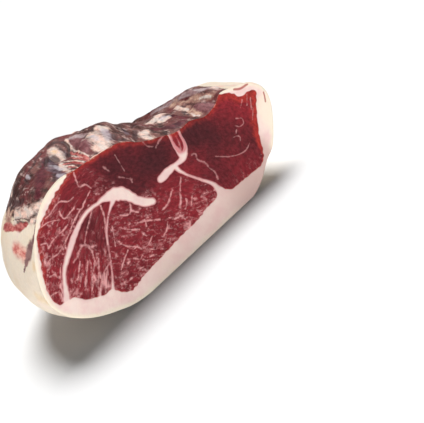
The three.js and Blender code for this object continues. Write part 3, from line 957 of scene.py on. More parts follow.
    def build(self) -> None:
        """Work out the bare grid, its normals, and the height that the relief adds to it.

        The depth inside the crust's border is a soft minimum of the distances to its two
        sides and to its end at the back. On the hidden back a random hill bends the border.
        """
        rim = self.plan.spots[self.plan.rim]
        self.bare = self.form.place(rim[:, None], self.shares[None])
        ahead = np.gradient(self.bare, axis=1)
        round_it = np.roll(self.bare, -1, axis=0) - np.roll(self.bare, 1, axis=0)
        normal = np.cross(ahead, round_it)
        normal = normal / np.maximum(np.linalg.norm(normal, axis=-1, keepdims=True), 1e-9)
        for _ in range(2):
            normal = normal + 0.5 * (np.roll(normal, 1, axis=0) + np.roll(normal, -1, axis=0))
            normal = normal / np.maximum(np.linalg.norm(normal, axis=-1, keepdims=True), 1e-9)
        self.normal = normal
        edges = ring_edges(self.plan.rim_line)
        length = np.hypot(edges[:, 2] - edges[:, 0], edges[:, 3] - edges[:, 1]).sum()
        along = beside(rim, self.plan.rim_line, True).along
        along = np.where(along > length / 2, along - length, along)
        self.around = np.broadcast_to(along[:, None], self.bare.shape[:2])
        self.behind = np.broadcast_to(self.shares * self.form.depth, self.bare.shape[:2])
        start, end = self.plan.crust
        side = np.minimum(self.around - start, end - self.around)
        side = side + 8.0 * lumpy(self.bare, 30.0, 17) * ease(self.behind, 60.0, 95.0)
        back = self.behind - self.crust_back
        self.crust = np.clip(-8.0 * np.logaddexp(-side / 8.0, back / 8.0), -30.0, 30.0)
        self.toned = self.tone_values()
        self.raised = self.relief()
        self.grid = self.bare + self.normal * self.raised[..., None]
        self.grid[..., 2] = np.maximum(self.grid[..., 2], 0.0)

    def far_patches(self) -> list[Patch]:
        """Random patches that run round the hidden back, in the tones of the front."""
        dice = np.random.default_rng(self.far_seed)
        start, end = self.plan.crust
        found = []
        for place in range(self.far_count):
            first = dice.uniform((start + 4.0, 72.0), (end - 30.0, self.crust_back - 14.0))
            run = dice.uniform(8.0, 40.0)
            bend, slope = dice.uniform(-6.0, 6.0, 2)
            points = (first, first + (run / 2, slope / 2 + bend), first + (run, slope))
            tone = self.far_tones[place % len(self.far_tones)]
            found.append(Patch(tone, dice.uniform(1.2, 4.5), tuple(map(tuple, points))))
        return found

    def tone_values(self) -> dict[Tone, Array]:
        """Value of each tone over the grid.

        On the line of a patch it is 1, and it falls evenly to 0 at the patch's half
        width and on to -2, as 1 minus the distance over the half width.

        Returns:
            The values of each tone.
        """
        spots = np.column_stack([self.around.ravel(), self.behind.ravel()])
        found = {tone: np.full(len(spots), -2.0) for tone in Tone}
        for patch in (*self.patches, *self.far_patches()):
            line = np.array(patch.points, float)
            low, high = line.min(axis=0) - 3.0 * patch.half, line.max(axis=0) + 3.0 * patch.half
            near = np.flatnonzero(((spots > low) & (spots < high)).all(axis=1))
            value = 1.0 - beside(spots[near], line).off / patch.half
            found[patch.tone][near] = np.maximum(found[patch.tone][near], value)
        return {tone: value.reshape(self.around.shape) for tone, value in found.items()}

    def relief(self) -> Array:
        """Height along the normal of the lumps, crust, fibres, knife-cut skin and patches.

        The crust is three random hills, the last one stretched round the ham. The skin is
        minus the size of a wide random hill, which leaves flats with soft crests between
        them. Each lump adds its height times exp(-(distance/reach)^2). All of it fades
        at the cut, at the floor and at the very back.

        Returns:
            The height in mm for each point of the grid.
        """
        places = self.bare
        chart = np.stack([self.around, self.behind, np.zeros(self.around.shape)], axis=-1)
        crusty = ease(self.crust, -4.0, 4.0)
        crust = 1.1 * lumpy(places, 15.0, 11) + 0.55 * lumpy(places, 6.0, 12)
        crust = crust + 0.4 * lumpy(chart, np.array([18.0, 3.0, 50.0]), 13)
        crust = crust + 1.6 * lumpy(places, 26.0, 16) * ease(self.behind, 78.0, 105.0)
        skin = 0.25 * lumpy(places, 11.0, 15) - 1.9 * np.abs(lumpy(places, 28.0, 14))
        height = crusty * crust + (1.0 - crusty) * skin
        for lump in self.lumps:
            aside = (self.around - lump.middle[0]) / lump.reach[0]
            back = (self.behind - lump.middle[1]) / lump.reach[1]
            height = height + lump.height * np.exp(-(aside**2 + back**2))
        for tone, rise in self.rises.items():
            height = height + rise * ease(self.toned[tone], -0.1, 0.7)
        height = height * ease(self.behind, 0.0, 5.0) * ease(places[..., 2], 0.0, 9.0)
        return height * ease(1.0 - self.shares, 0.0, 0.03)

    def values(self) -> dict[str, Array]:
        """Values of the grid that the finishes of the outside read."""
        return {
            "crust_side": self.crust, "around": self.around, "behind_cut": self.behind,
            **{tone.value: value for tone, value in self.toned.items()},
        }


@dataclass
class HamMesher:
    """Turns a share of the plan into a closed mesh that runs back into the ham."""

    form: HamForm
    plan: CutPlan
    outside: Outside
    cut_values: dict[str, Array]
    shares: Array
    end: int
    stride: int = 8

    def __post_init__(self) -> None:
        """Find each plan point's place on the rim, and its nearest rim point and distance."""
        self.rings = len(self.shares) + 1
        self.on_rim = np.full(len(self.plan.spots), -1)
        self.on_rim[self.plan.rim] = np.arange(len(self.plan.rim))
        rim = self.plan.spots[self.plan.rim]
        self.rim_near = np.zeros(len(self.plan.spots), int)
        self.rim_off = np.zeros(len(self.plan.spots))
        for block in np.array_split(np.arange(len(self.plan.spots)), 24):
            gap = np.linalg.norm(self.plan.spots[block, None] - rim, axis=-1)
            self.rim_near[block] = gap.argmin(axis=1)
            self.rim_off[block] = gap.min(axis=1)

    def wall(self, edges: Array, first: int, last: int) -> Array:
        """Triangles of the walls that run back from edges of the plan.

        A wall along the rim has every ring. An inner wall has one ring in a stride, and
        one that touches the rim fans from the coarse side to the fine one.

        Args:
            edges: Directed edges, with the piece on their left.
            first: Ring where the walls start.
            last: Ring where they end.

        Returns:
            Corners as plan point times the number of rings, plus the ring.
        """
        fine = self.on_rim[edges] >= 0
        both, none = fine.all(axis=1), ~fine.any(axis=1)
        parts = [self.strip(edges[both], np.arange(first, last + 1))]
        parts.append(self.strip(edges[none], np.arange(first, last + 1, self.stride)))
        for side in (0, 1):
            mixed = edges[fine[:, side] & ~fine[:, 1 - side]]
            rings = np.arange(first, last)
            block = (rings - first) // self.stride
            late = (rings - first) % self.stride >= self.stride // 2
            apex = first + (block + late) * self.stride
            near, far = mixed[:, side, None], mixed[:, 1 - side, None]
            fan = self.corners([(far, apex), (near, rings), (near, rings + 1)], side == 1)
            start = np.arange(first, last, self.stride)
            middle = start + self.stride // 2
            gap = self.corners(
                [(far, start), (near, middle), (far, start + self.stride)], side == 1
            )
            parts += [fan, gap]
        return np.concatenate(parts)

    def corners(self, points: list[tuple[Array, Array]], flip: bool) -> Array:
        """Corner numbers of triangles, turned over if asked."""
        keys = np.stack([spot * self.rings + ring for spot, ring in points], axis=-1)
        return (keys[..., ::-1] if flip else keys).reshape(-1, 3)

    def strip(self, edges: Array, rings: Array) -> Array:
        """Two triangles between each edge and each pair of rings that follow each other."""
        a, b = edges[:, 0, None], edges[:, 1, None]
        near, far = rings[:-1], rings[1:]
        one = self.corners([(b, near), (a, near), (a, far)], False)
        two = self.corners([(b, near), (a, far), (b, far)], False)
        return np.concatenate([one, two])

    def cavity_end(self, lean: Array) -> Array:
        """Coarse triangles that close the muscles' far end, with the lean's own border points."""
        border = open_edges(lean)
        used, packed = np.unique(border, return_inverse=True)
        packed = packed.reshape(-1, 2)
        spots = self.plan.spots[used]
        made = delaunay_2d_cdt(
            [Vector(row) for row in spots.tolist()], [tuple(row) for row in packed.tolist()],
            [], 0, 1e-7, True,
        )
        given = np.array([rows[0] for rows in made[3]])
        triangles = given[np.array(made[2], int)]
        a, b, c = (spots[triangles[:, i]] for i in range(3))
        turn = (b[:, 0] - a[:, 0]) * (c[:, 1] - a[:, 1]) - (b[:, 1] - a[:, 1]) * (c[:, 0] - a[:, 0])
        triangles = np.where((turn < 0)[:, None], triangles[:, ::-1], triangles)
        edges = np.hstack([spots[packed[:, 0]], spots[packed[:, 1]]])
        inside = within(spots[triangles].mean(axis=1), edges)
        return used[triangles[inside]]

    def positions(self, spot: Array, ring: Array) -> Array:
        """Points of the ham in mm. Inner ones follow the outside's relief, less with depth.

        Args:
            spot: Plan points.
            ring: Rings, where the last one stands for the point at the very back.

        Returns:
            One row of x, y and z for each.
        """
        shares = np.append(self.shares, 1.0)[ring]
        places = self.form.place(self.plan.spots[spot], shares)
        near = self.rim_near[spot]
        inner_ring = np.minimum(ring, len(self.shares) - 1)
        fade = np.exp(-self.rim_off[spot] / 3.0) * (ring < len(self.shares))
        raised = self.outside.raised[near, inner_ring] * fade
        places = places + self.outside.normal[near, inner_ring] * raised[:, None]
        places[:, 2] = np.maximum(places[:, 2], 0.0)
        on_cut = ring == 0
        places[on_cut, 1] += self.cut_relief()[spot[on_cut]]
        return places

    def cut_relief(self) -> Array:
        """How far the cut lies back: a rounded rim, a shallow line where fat meets lean, soft waves."""
        spots = np.column_stack([self.plan.spots, np.zeros(len(self.plan.spots))])
        edge = self.cut_values["cut_edge"]
        rounded = 0.55 * (1.0 - ease(edge, 0.0, 1.1))
        seam = 0.22 * np.exp(-(self.cut_values["cut_fat"] / 0.7) ** 2)
        waves = 0.22 * (lumpy(spots, 13.0, 31) + 1.0) + 0.06 * (lumpy(spots, 3.0, 32) + 1.0)
        return rounded + seam + waves * ease(edge, 0.0, 3.0)

    def piece(self, name: str, front: Array, parts: list[Array], looks: list[bpy.types.Material]
              ) -> bpy.types.Object:
        """Put a piece into the scene.

        Args:
            name: Name of the piece.
            front: Corners of its triangles on the cut, as plan points.
            parts: Corner numbers of its other triangles.
            looks: Materials of the cut and of the outside.

        Returns:
            The finished piece.
        """
        faces = np.concatenate([front * self.rings, *parts])
        keys, corner = np.unique(faces, return_inverse=True)
        corner = corner.reshape(-1, 3)
        spot, ring = keys // self.rings, keys % self.rings
        mesh = bpy.data.meshes.new(name)
        mesh.from_pydata((self.positions(spot, ring) * MM).tolist(), [], corner.tolist())
        for look in looks:
            mesh.materials.append(look)
        slot = np.zeros(len(faces), np.int32)
        slot[len(front):] = 1
        mesh.polygons.foreach_set("material_index", slot)
        mesh.polygons.foreach_set("use_smooth", np.ones(len(faces), bool))
        self.write_values(mesh, spot, ring)
        mesh.set_sharp_from_angle(angle=radians(52))
        mesh.update()
        thing = bpy.data.objects.new(name, mesh)
        bpy.context.scene.collection.objects.link(thing)
        log.info("%s: %d triangles", name, len(faces))
        return thing

    def write_values(self, mesh: bpy.types.Mesh, spot: Array, ring: Array) -> None:
        """Give the mesh the values of the cut and of the outside."""
        outer_ring = np.minimum(ring, len(self.shares) - 1)
        near = self.rim_near[spot]
        for name, values in self.cut_values.items():
            layer = mesh.attributes.new(name, "FLOAT", "POINT")
            layer.data.foreach_set("value", values[spot].astype(np.float32))
        for name, values in self.outside.values().items():
            layer = mesh.attributes.new(name, "FLOAT", "POINT")
            layer.data.foreach_set("value", values[near, outer_ring].astype(np.float32))

    def muscle(self, which: Muscle, looks: list[bpy.types.Material]) -> bpy.types.Object:
        """Build a muscle: its cut, its walls, and its far end inside the fat."""
        front = self.plan.triangles[self.plan.owner == list(Muscle).index(which)]
        walls = self.wall(open_edges(front), 0, self.end)
        lean_end = self.cavity_end(front)[:, ::-1] * self.rings + self.end
        return self.piece(which.value + "_cut", front, [walls, lean_end], looks)

    def fat(self, looks: list[bpy.types.Material]) -> bpy.types.Object:
        """Build the fat cover: its cut, skin, seams, hollow for the muscles, and rounded back."""
        plan = self.plan
        front = plan.triangles[plan.owner == -1]
        parts = [self.wall(open_edges(front), 0, self.end)]
        for place in range(len(Muscle)):
            mine = plan.triangles[plan.owner == place]
            parts.append(self.cavity_end(mine) * self.rings + self.end)
        rim = np.column_stack([plan.rim, np.roll(plan.rim, -1)])
        parts.append(self.strip(rim, np.arange(self.end, len(self.shares))))
        last = len(self.shares) - 1
        pole = plan.rim[0] * self.rings + len(self.shares)
        parts.append(np.column_stack([
            rim[:, 1] * self.rings + last, rim[:, 0] * self.rings + last, np.full(len(rim), pole),
        ]))
        return self.piece("fat_cover_cut", front, parts, looks)


class Recipe:
    """Writes the nodes of one finish."""

    def __init__(self, name: str) -> None:
        """Start a material with an empty node tree."""
        self.material = bpy.data.materials.new(name)
        self.material.use_nodes = True
        self.tree = self.material.node_tree
        self.tree.nodes.clear()
        self.object_place = self.add("ShaderNodeTexCoord").outputs["Object"]

    def add(self, kind: str, inputs: dict[str | int, object] | None = None,
            **settings: object) -> bpy.types.Node:
        """Add a node.

        Args:
            kind: The node's type.
            inputs: Sockets to link or numbers to set, by the input's name or place.
            **settings: Properties of the node.

        Returns:
            The node.
        """
        node = self.tree.nodes.new(kind)
        for name, value in settings.items():
            setattr(node, name, value)
        for name, value in (inputs or {}).items():
            if isinstance(value, bpy.types.NodeSocket):
                self.tree.links.new(value, node.inputs[name])
            else:
                node.inputs[name].default_value = value
        return node

    def value(self, name: str) -> bpy.types.NodeSocket:
        """Read a value of the mesh by its name."""
        return self.add("ShaderNodeAttribute", attribute_name=name).outputs["Fac"]

    def sum(self, kind: str, *terms: object) -> bpy.types.NodeSocket:
        """Work out one step of arithmetic."""
        return self.add("ShaderNodeMath", dict(enumerate(terms)), operation=kind).outputs[0]

    def rise(self, value: object, low: float, high: float, start: float = 0.0,
             end: float = 1.0) -> bpy.types.NodeSocket:
        """Ease a value from start to end as it goes from low to high."""
        return self.add(
            "ShaderNodeMapRange", {0: value, 1: low, 2: high, 3: start, 4: end},
            interpolation_type="SMOOTHSTEP",
        ).outputs[0]

    def blend(self, share: object, first: object, second: object) -> bpy.types.NodeSocket:
        """Mix two colours."""
        node = self.add("ShaderNodeMix", data_type="RGBA")
        for name, value in (("Factor_Float", share), ("A_Color", first), ("B_Color", second)):
            socket = next(s for s in node.inputs if s.identifier == name)
            if isinstance(value, bpy.types.NodeSocket):
                self.tree.links.new(value, socket)
            else:
                socket.default_value = value
        return next(s for s in node.outputs if s.identifier == "Result_Color")

    def shade(self, colour: object, amount: object) -> bpy.types.NodeSocket:
        """Make a colour lighter or darker by a factor."""
        node = self.add("ShaderNodeVectorMath", {0: colour}, operation="SCALE")
        if isinstance(amount, bpy.types.NodeSocket):
            self.tree.links.new(amount, node.inputs["Scale"])
        else:
            node.inputs["Scale"].default_value = amount
        return node.outputs[0]

    def noise(self, place: object, scale: float, detail: float = 2.0, rough: float = 0.5,
              twist: float = 0.0) -> bpy.types.NodeSocket:
        """Random hills of the given scale."""
        return self.add("ShaderNodeTexNoise", {
            "Vector": place, "Scale": scale, "Detail": detail, "Roughness": rough,
            "Distortion": twist,
        }).outputs["Fac"]

    def stretched(self, across: object, along: object, third: object, factors: tuple[float, float, float]
                  ) -> bpy.types.NodeSocket:
        """A place made of three values, each with its own factor."""
        place = self.add("ShaderNodeCombineXYZ", {0: across, 1: along, 2: third}).outputs[0]
        return self.add(
            "ShaderNodeVectorMath", {0: place, 1: factors}, operation="MULTIPLY"
        ).outputs[0]

    def finish(self, colour: object, rough: object, bumps: list[tuple[object, float, float]],
               **numbers: object) -> bpy.types.Material:
        """Close the recipe with the shader.

        Args:
            colour: Base colour.
            rough: Roughness.
            bumps: Height, strength and distance in metres of each layer of fine relief.
            **numbers: Other inputs of the shader, with _ for a space.

        Returns:
            The material.
        """
        normal = None
        for height, strength, distance in bumps:
            inputs = {"Height": height, "Strength": strength, "Distance": distance}
            if normal is not None:
                inputs["Normal"] = normal
            normal = self.add("ShaderNodeBump", inputs).outputs[0]
        inputs = {"Base Color": colour, "Roughness": rough}
        inputs.update({name.replace("_", " "): value for name, value in numbers.items()})
        if normal is not None:
            inputs["Normal"] = normal
        shader = self.add("ShaderNodeBsdfPrincipled", inputs)
        self.add("ShaderNodeOutputMaterial", {"Surface": shader.outputs[0]})
        return self.material


@dataclass(frozen=True)
class CutFinish:
    """The cut: lean with its grain, marbling and streaks, and white fat with pink shades."""

    dark: Colour = from_screen(70, 26, 31)
    red: Colour = from_screen(131, 35, 43)
    bright: Colour = from_screen(160, 48, 42)
    dried: Colour = from_screen(222, 158, 138)
    marbling: Colour = from_screen(232, 170, 168)
    fat: Colour = from_screen(238, 215, 205)
    fat_pink: Colour = from_screen(230, 194, 190)
    fat_edge: Colour = from_screen(240, 226, 206)
    # Painted shade of the fat low on the cut
    fat_painted_shade: Colour = from_screen(204, 174, 166)
    seam_pink: Colour = from_screen(206, 124, 128)
    scatter: tuple[float, float, float] = (0.004, 0.0016, 0.0012)

    def net(self, recipe: Recipe, cell: Spot, gap: float, wide: float, low: float
            ) -> bpy.types.NodeSocket:
        """Soft lines along the edges of wavy cells, broken by gaps.

        Args:
            recipe: The finish that gets the nodes.
            cell: Cells to a mm across and along the grain.
            gap: Scale of the gaps.
            wide: Half width of a line in cells.
            low: Level of the hills under which a line is gone. More fat in the lean lowers it.

        Returns:
            Strength of the lines, from 0 to 1.
        """
        place = recipe.stretched(recipe.value("cut_across"), recipe.value("cut_along"), 0.0, (*cell, 1.0))
        drift = recipe.add("ShaderNodeTexNoise", {"Vector": place, "Scale": 1.3, "Detail": 3.0})
        moved = recipe.add(
            "ShaderNodeVectorMath", {0: drift.outputs["Color"], 1: (0.9, 0.9, 0.0), 2: place},
            operation="MULTIPLY_ADD",
        ).outputs[0]
        cells = recipe.add(
            "ShaderNodeTexVoronoi", {"Vector": moved, "Scale": 1.0, "Randomness": 1.0},
            feature="DISTANCE_TO_EDGE",
        ).outputs["Distance"]
        gaps = recipe.noise(recipe.object_place, gap, 4.0, 0.65)
        level = recipe.sum("MULTIPLY_ADD", recipe.value("cut_marble"), 0.2, gaps)
        return recipe.sum("MULTIPLY", recipe.rise(cells, wide, 0.0), recipe.rise(level, low, low + 0.17))

    def marbled(self, recipe: Recipe) -> bpy.types.NodeSocket:
        """Share of fat in the lean: a net of thin lines, a soft mottle and the named streaks."""
        across, along = recipe.value("cut_across"), recipe.value("cut_along")
        amount = recipe.value("cut_marble")
        bold = self.net(recipe, (0.15, 0.065), 110.0, 0.15, 0.58)
        thin = recipe.sum("MULTIPLY", self.net(recipe, (0.27, 0.11), 190.0, 0.22, 0.6), 0.65)
        net = recipe.sum("MAXIMUM", bold, thin)
        place = recipe.stretched(across, along, 0.0, (0.34, 0.18, 1.0))
        mottle = recipe.rise(recipe.noise(place, 1.0, 4.0, 0.62, 0.8), 0.5, 0.78, 0.0, 0.45)
        strong = recipe.rise(amount, 0.0, 0.3)
        net = recipe.sum("MULTIPLY", recipe.sum("MAXIMUM", net, mottle), strong)
        gaps = recipe.noise(recipe.object_place, 260.0, 3.0, 0.65)
        named = recipe.sum("MULTIPLY_ADD", gaps, 2.0,
                           recipe.sum("SUBTRACT", recipe.value("cut_vein"), 1.0))
        named = recipe.rise(named, 0.35, 1.2)
        plain = recipe.rise(amount, 0.0, 0.2, 0.45, 0.9)
        return recipe.sum("MAXIMUM", net, recipe.sum("MULTIPLY", named, plain))

    def lean_colour(self, recipe: Recipe) -> bpy.types.NodeSocket:
        """Colour of the lean before its marbling, redder under its bark."""
        cloud = recipe.noise(recipe.object_place, 32.0, 3.0, 0.55)
        level = recipe.sum("MULTIPLY_ADD", recipe.value("cut_glow"), 0.42, cloud)
        colour = recipe.blend(recipe.rise(level, -0.1, 0.8), self.dark, self.red)
        ragged = recipe.noise(recipe.object_place, 120.0, 3.0, 0.6)
        bark = recipe.sum("MULTIPLY_ADD", ragged, 8.0, recipe.value("cut_bark"))
        level = recipe.sum("MULTIPLY", recipe.rise(bark, 9.0, 3.5, 0.0, 0.95),
                           recipe.rise(recipe.value("cut_glow"), -1.2, 0.0, 0.65, 1.0))
        colour = recipe.blend(level, colour, self.bright)
        rim = recipe.sum("MULTIPLY_ADD", ragged, 6.0, recipe.value("cut_edge"))
        colour = recipe.blend(recipe.rise(rim, 3.6, 2.4, 0.0, 0.6), colour, self.dried)
        grain = recipe.noise(
            recipe.stretched(recipe.value("cut_across"), recipe.value("cut_along"), 0.0,
                             (0.45, 0.25, 1.0)), 1.0, 4.0, 0.68)
        return recipe.shade(colour, recipe.rise(grain, 0.32, 0.68, 0.66, 1.3))

    def fat_colour(self, recipe: Recipe) -> bpy.types.NodeSocket:
        """Colour of the cut fat: pinker in clouds and seams, with painted shade below, creamier at the rim.

        A streak that lies outside the meat is a red mark in the fat.
        """
        cloud = recipe.noise(recipe.object_place, 60.0, 3.0, 0.6)
        colour = recipe.blend(recipe.rise(cloud, 0.35, 0.7), self.fat, self.fat_pink)
        rim = recipe.sum("MULTIPLY_ADD", cloud, 5.0, recipe.value("cut_edge"))
        colour = recipe.blend(recipe.rise(rim, 7.5, 3.0), colour, self.fat_edge)
        # The shade value paints shade on the low fat, and where it is negative it makes the right end
        # creamier
        shade = recipe.value("cut_painted_shade_and_cream")
        colour = recipe.blend(recipe.rise(shade, 0.0, -1.0, 0.0, 0.8), colour, self.fat_edge)
        colour = recipe.blend(recipe.rise(shade, 0.0, 1.0), colour, self.fat_painted_shade)
        pink = recipe.sum("MULTIPLY_ADD", cloud, 1.6, recipe.value("cut_fat"))
        pink = recipe.sum("MULTIPLY", recipe.rise(pink, 2.2, 0.9, 0.0, 0.8),
                          recipe.rise(recipe.value("cut_bark"), -1.0, 4.0))
        pink = recipe.sum("MAXIMUM", pink, recipe.rise(recipe.value("cut_glow"), 0.3, 1.0, 0.0, 0.9))
        colour = recipe.blend(pink, colour, self.seam_pink)
        colour = recipe.shade(colour, recipe.rise(recipe.value("cut_bark"), 0.0, 5.0, 1.0, 0.93))
        mark = recipe.sum("MULTIPLY", recipe.rise(recipe.value("cut_vein"), 0.2, 0.8, 0.0, 0.8),
                          recipe.rise(recipe.value("cut_bark"), -0.5, -1.5))
        return recipe.blend(mark, colour, self.bright)

    def material(self) -> bpy.types.Material:
        """Make the material."""
        recipe = Recipe("ham_cut")
        wobble = recipe.noise(recipe.object_place, 330.0, 2.0)
        border = recipe.sum("MULTIPLY_ADD", recipe.sum("SUBTRACT", wobble, 0.5), 0.4,
                            recipe.value("cut_fat"))
        is_fat = recipe.rise(border, -0.5, 0.45)
        marbled = self.marbled(recipe)
        lean = recipe.blend(recipe.sum("MULTIPLY", marbled, 0.85), self.lean_colour(recipe),
                            self.marbling)
        colour = recipe.blend(is_fat, lean, self.fat_colour(recipe))
        rough = recipe.rise(recipe.noise(recipe.object_place, 300.0, 2.0), 0.3, 0.7, 0.42, 0.62)
        height = recipe.sum("MULTIPLY_ADD", recipe.noise(recipe.object_place, 700.0, 3.0), 0.6,
                            marbled)
        return recipe.finish(
            colour, rough, [(height, 0.35, 0.0004)], Subsurface_Weight=0.12,
            Subsurface_Radius=self.scatter, Subsurface_Scale=1.0, Specular_IOR_Level=0.12,
        )


@dataclass(frozen=True)
class ToneLook:
    """Two colours of a tone that small clouds mix, how soft and ragged its edge is, and its cover."""

    first: Colour
    second: Colour
    soft: float = 0.15
    cover: float = 1.0
    ragged: float = 0.7


@dataclass(frozen=True)
class OutsideFinish:
    """The outside: cream skin below, dried crust on top with its patches of fat and mould."""

    skin: Colour = from_screen(232, 216, 196)
    skin_shade: Colour = from_screen(224, 200, 168)
    skin_pink: Colour = from_screen(234, 208, 200)
    crust: Colour = from_screen(126, 82, 76)
    crust_dark: Colour = from_screen(64, 40, 37)
    crust_light: Colour = from_screen(160, 126, 120)
    crust_red: Colour = from_screen(112, 44, 48)
    speck: Colour = from_screen(196, 166, 158)
    looks: dict[Tone, ToneLook] = field(default_factory=lambda: {
        Tone.MAROON: ToneLook(from_screen(76, 28, 36), from_screen(112, 54, 60), 0.4, 1.0, 1.2),
        Tone.LOBE: ToneLook(from_screen(114, 66, 70), from_screen(144, 96, 98), 0.25, 1.0, 0.6),
        Tone.LILAC: ToneLook(from_screen(150, 118, 118), from_screen(182, 160, 160), 0.4),
        Tone.PURPLE: ToneLook(from_screen(54, 38, 48), from_screen(126, 108, 116), 0.6, 0.9, 1.8),
        Tone.BEIGE: ToneLook(from_screen(212, 174, 152), from_screen(150, 104, 94), 0.5, 0.95, 1.8),
        Tone.CREAM: ToneLook(from_screen(230, 192, 176), from_screen(214, 198, 188), 0.5, 1.0, 1.6),
        # Dark crust, with painted shade in the creases
        Tone.DARK: ToneLook(from_screen(60, 38, 38), from_screen(88, 62, 62), 0.5, 0.85, 1.2),
        Tone.RED: ToneLook(from_screen(152, 58, 58), from_screen(206, 126, 118), 0.3, 1.0, 1.0),
        Tone.SALMON: ToneLook(from_screen(236, 172, 156), from_screen(196, 80, 74), 0.7, 0.95, 0.7),
        Tone.MOULD: ToneLook(from_screen(205, 196, 200), from_screen(180, 168, 178), 0.5, 0.6, 1.5),
        Tone.YELLOW: ToneLook(from_screen(222, 184, 120), from_screen(236, 206, 160), 0.8, 0.5),
        Tone.SLIT: ToneLook(from_screen(150, 112, 108), from_screen(122, 86, 86), 0.3),
    })
    scatter: tuple[float, float, float] = (0.003, 0.0015, 0.001)

    def drawn_out(self, recipe: Recipe, scale: float, detail: float, rough: float
                  ) -> bpy.types.NodeSocket:
        """Random hills drawn out towards the back, and even ones round the rounded back itself."""
        behind = recipe.value("behind_cut")
        place = recipe.stretched(recipe.value("around"), behind, 0.0024, (0.001, 0.0004, 1.0))
        front = recipe.noise(place, scale, detail, rough)
        back = recipe.noise(recipe.object_place, scale, detail, rough)
        return recipe.rise(behind, 85.0, 120.0, front, back)

    def crust_colour(self, recipe: Recipe, fibre: object) -> bpy.types.NodeSocket:
        """Colour of the dried crust, with fibres that run round the ham and pale specks."""
        heel = recipe.sum("MULTIPLY", recipe.rise(recipe.value("around"), 5.0, 30.0, 0.0, 0.1),
                          recipe.rise(recipe.value("behind_cut"), 15.0, 40.0))
        cloud = recipe.sum("SUBTRACT", self.drawn_out(recipe, 150.0, 5.0, 0.68), heel)
        colour = recipe.blend(recipe.rise(cloud, 0.38, 0.6), self.crust_dark, self.crust)
        reds = recipe.noise(recipe.object_place, 45.0, 3.0, 0.6, 0.3)
        colour = recipe.blend(recipe.rise(reds, 0.46, 0.6, 0.0, 0.65), colour, self.crust_red)
        colour = recipe.blend(recipe.rise(fibre, 0.5, 0.72, 0.0, 0.4), colour, self.crust_light)
        spots = self.drawn_out(recipe, 210.0, 4.0, 0.7)
        return recipe.blend(recipe.rise(spots, 0.53, 0.69, 0.0, 0.9), colour, self.speck)

    def skin_colour(self, recipe: Recipe) -> bpy.types.NodeSocket:
        """Colour of the skin side, with yellower and pinker clouds."""
        wide = recipe.noise(recipe.object_place, 22.0, 3.0, 0.55)
        small = recipe.noise(recipe.object_place, 90.0, 3.0, 0.6)
        colour = recipe.blend(recipe.rise(wide, 0.42, 0.72), self.skin, self.skin_shade)
        return recipe.blend(recipe.rise(small, 0.52, 0.78, 0.0, 0.6), colour, self.skin_pink)

    def material(self) -> bpy.types.Material:
        """Make the material."""
        recipe = Recipe("ham_outside")
        ragged = self.drawn_out(recipe, 150.0, 5.0, 0.65)
        torn = recipe.sum("MULTIPLY_ADD", ragged, 2.2, -1.1)
        fibre = recipe.noise(
            recipe.stretched(recipe.value("around"), recipe.value("behind_cut"), 0.0,
                             (0.16, 0.4, 1.0)), 1.0, 4.0, 0.65, 0.5)
        side = recipe.sum("MULTIPLY_ADD", torn, 5.0, recipe.value("crust_side"))
        crusty = recipe.rise(side, -1.0, 1.5)
        colour = recipe.blend(crusty, self.skin_colour(recipe), self.crust_colour(recipe, fibre))
        clouds = recipe.rise(self.drawn_out(recipe, 260.0, 4.0, 0.65), 0.38, 0.62)
        for tone in Tone:
            look = self.looks[tone]
            value = recipe.sum("MULTIPLY_ADD", torn, look.ragged, recipe.value(tone.value))
            share = recipe.rise(value, 0.18 - look.soft, 0.18 + look.soft, 0.0, look.cover)
            colour = recipe.blend(share, colour, recipe.blend(clouds, look.first, look.second))
        grain = recipe.noise(recipe.object_place, 420.0, 3.0, 0.6)
        faint, clear = recipe.rise(grain, 0.3, 0.7, 0.95, 1.03), recipe.rise(grain, 0.3, 0.7, 0.82, 1.15)
        colour = recipe.shade(colour, recipe.rise(crusty, 0.0, 1.0, faint, clear))
        rough = recipe.rise(grain, 0.3, 0.7, 0.45, 0.68)
        height = recipe.sum("MULTIPLY_ADD", recipe.sum("MULTIPLY", fibre, crusty), 1.2, grain)
        return recipe.finish(
            colour, rough, [(ragged, 0.4, 0.0015), (height, 0.5, 0.0006)],
            Subsurface_Weight=0.08, Subsurface_Radius=self.scatter, Subsurface_Scale=1.0,
            Specular_IOR_Level=0.15,
        )


@dataclass
class Ham:
    """The whole ham: fat cover and muscles."""

    form: HamForm = field(default_factory=HamForm)
    plan: CutPlan = field(default_factory=CutPlan)
    ring_spacing: Spot = (1.15, 1.8)
    stride: int = 8

    def build(self) -> None:
        """Build and dress every piece, and let each stand for its solid."""
        self.plan.triangulate()
        shares, end = self.form.depth_shares(self.ring_spacing, self.stride)
        outside = Outside(self.form, self.plan, shares)
        outside.build()
        mesher = HamMesher(
            self.form, self.plan, outside, CutValues(self.plan).all(), shares, end, self.stride
        )
        looks = [CutFinish().material(), OutsideFinish().material()]
        self.place(mesher.fat(looks), "fat_cover", "fat")
        for muscle in Muscle:
            self.place(mesher.muscle(muscle, looks), muscle.value, "lean")

    def place(self, piece: bpy.types.Object, node: str, slot: str) -> None:
        """Let a piece ride with the ham and stand for its solid."""
        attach(piece, "root")
        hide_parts(node)


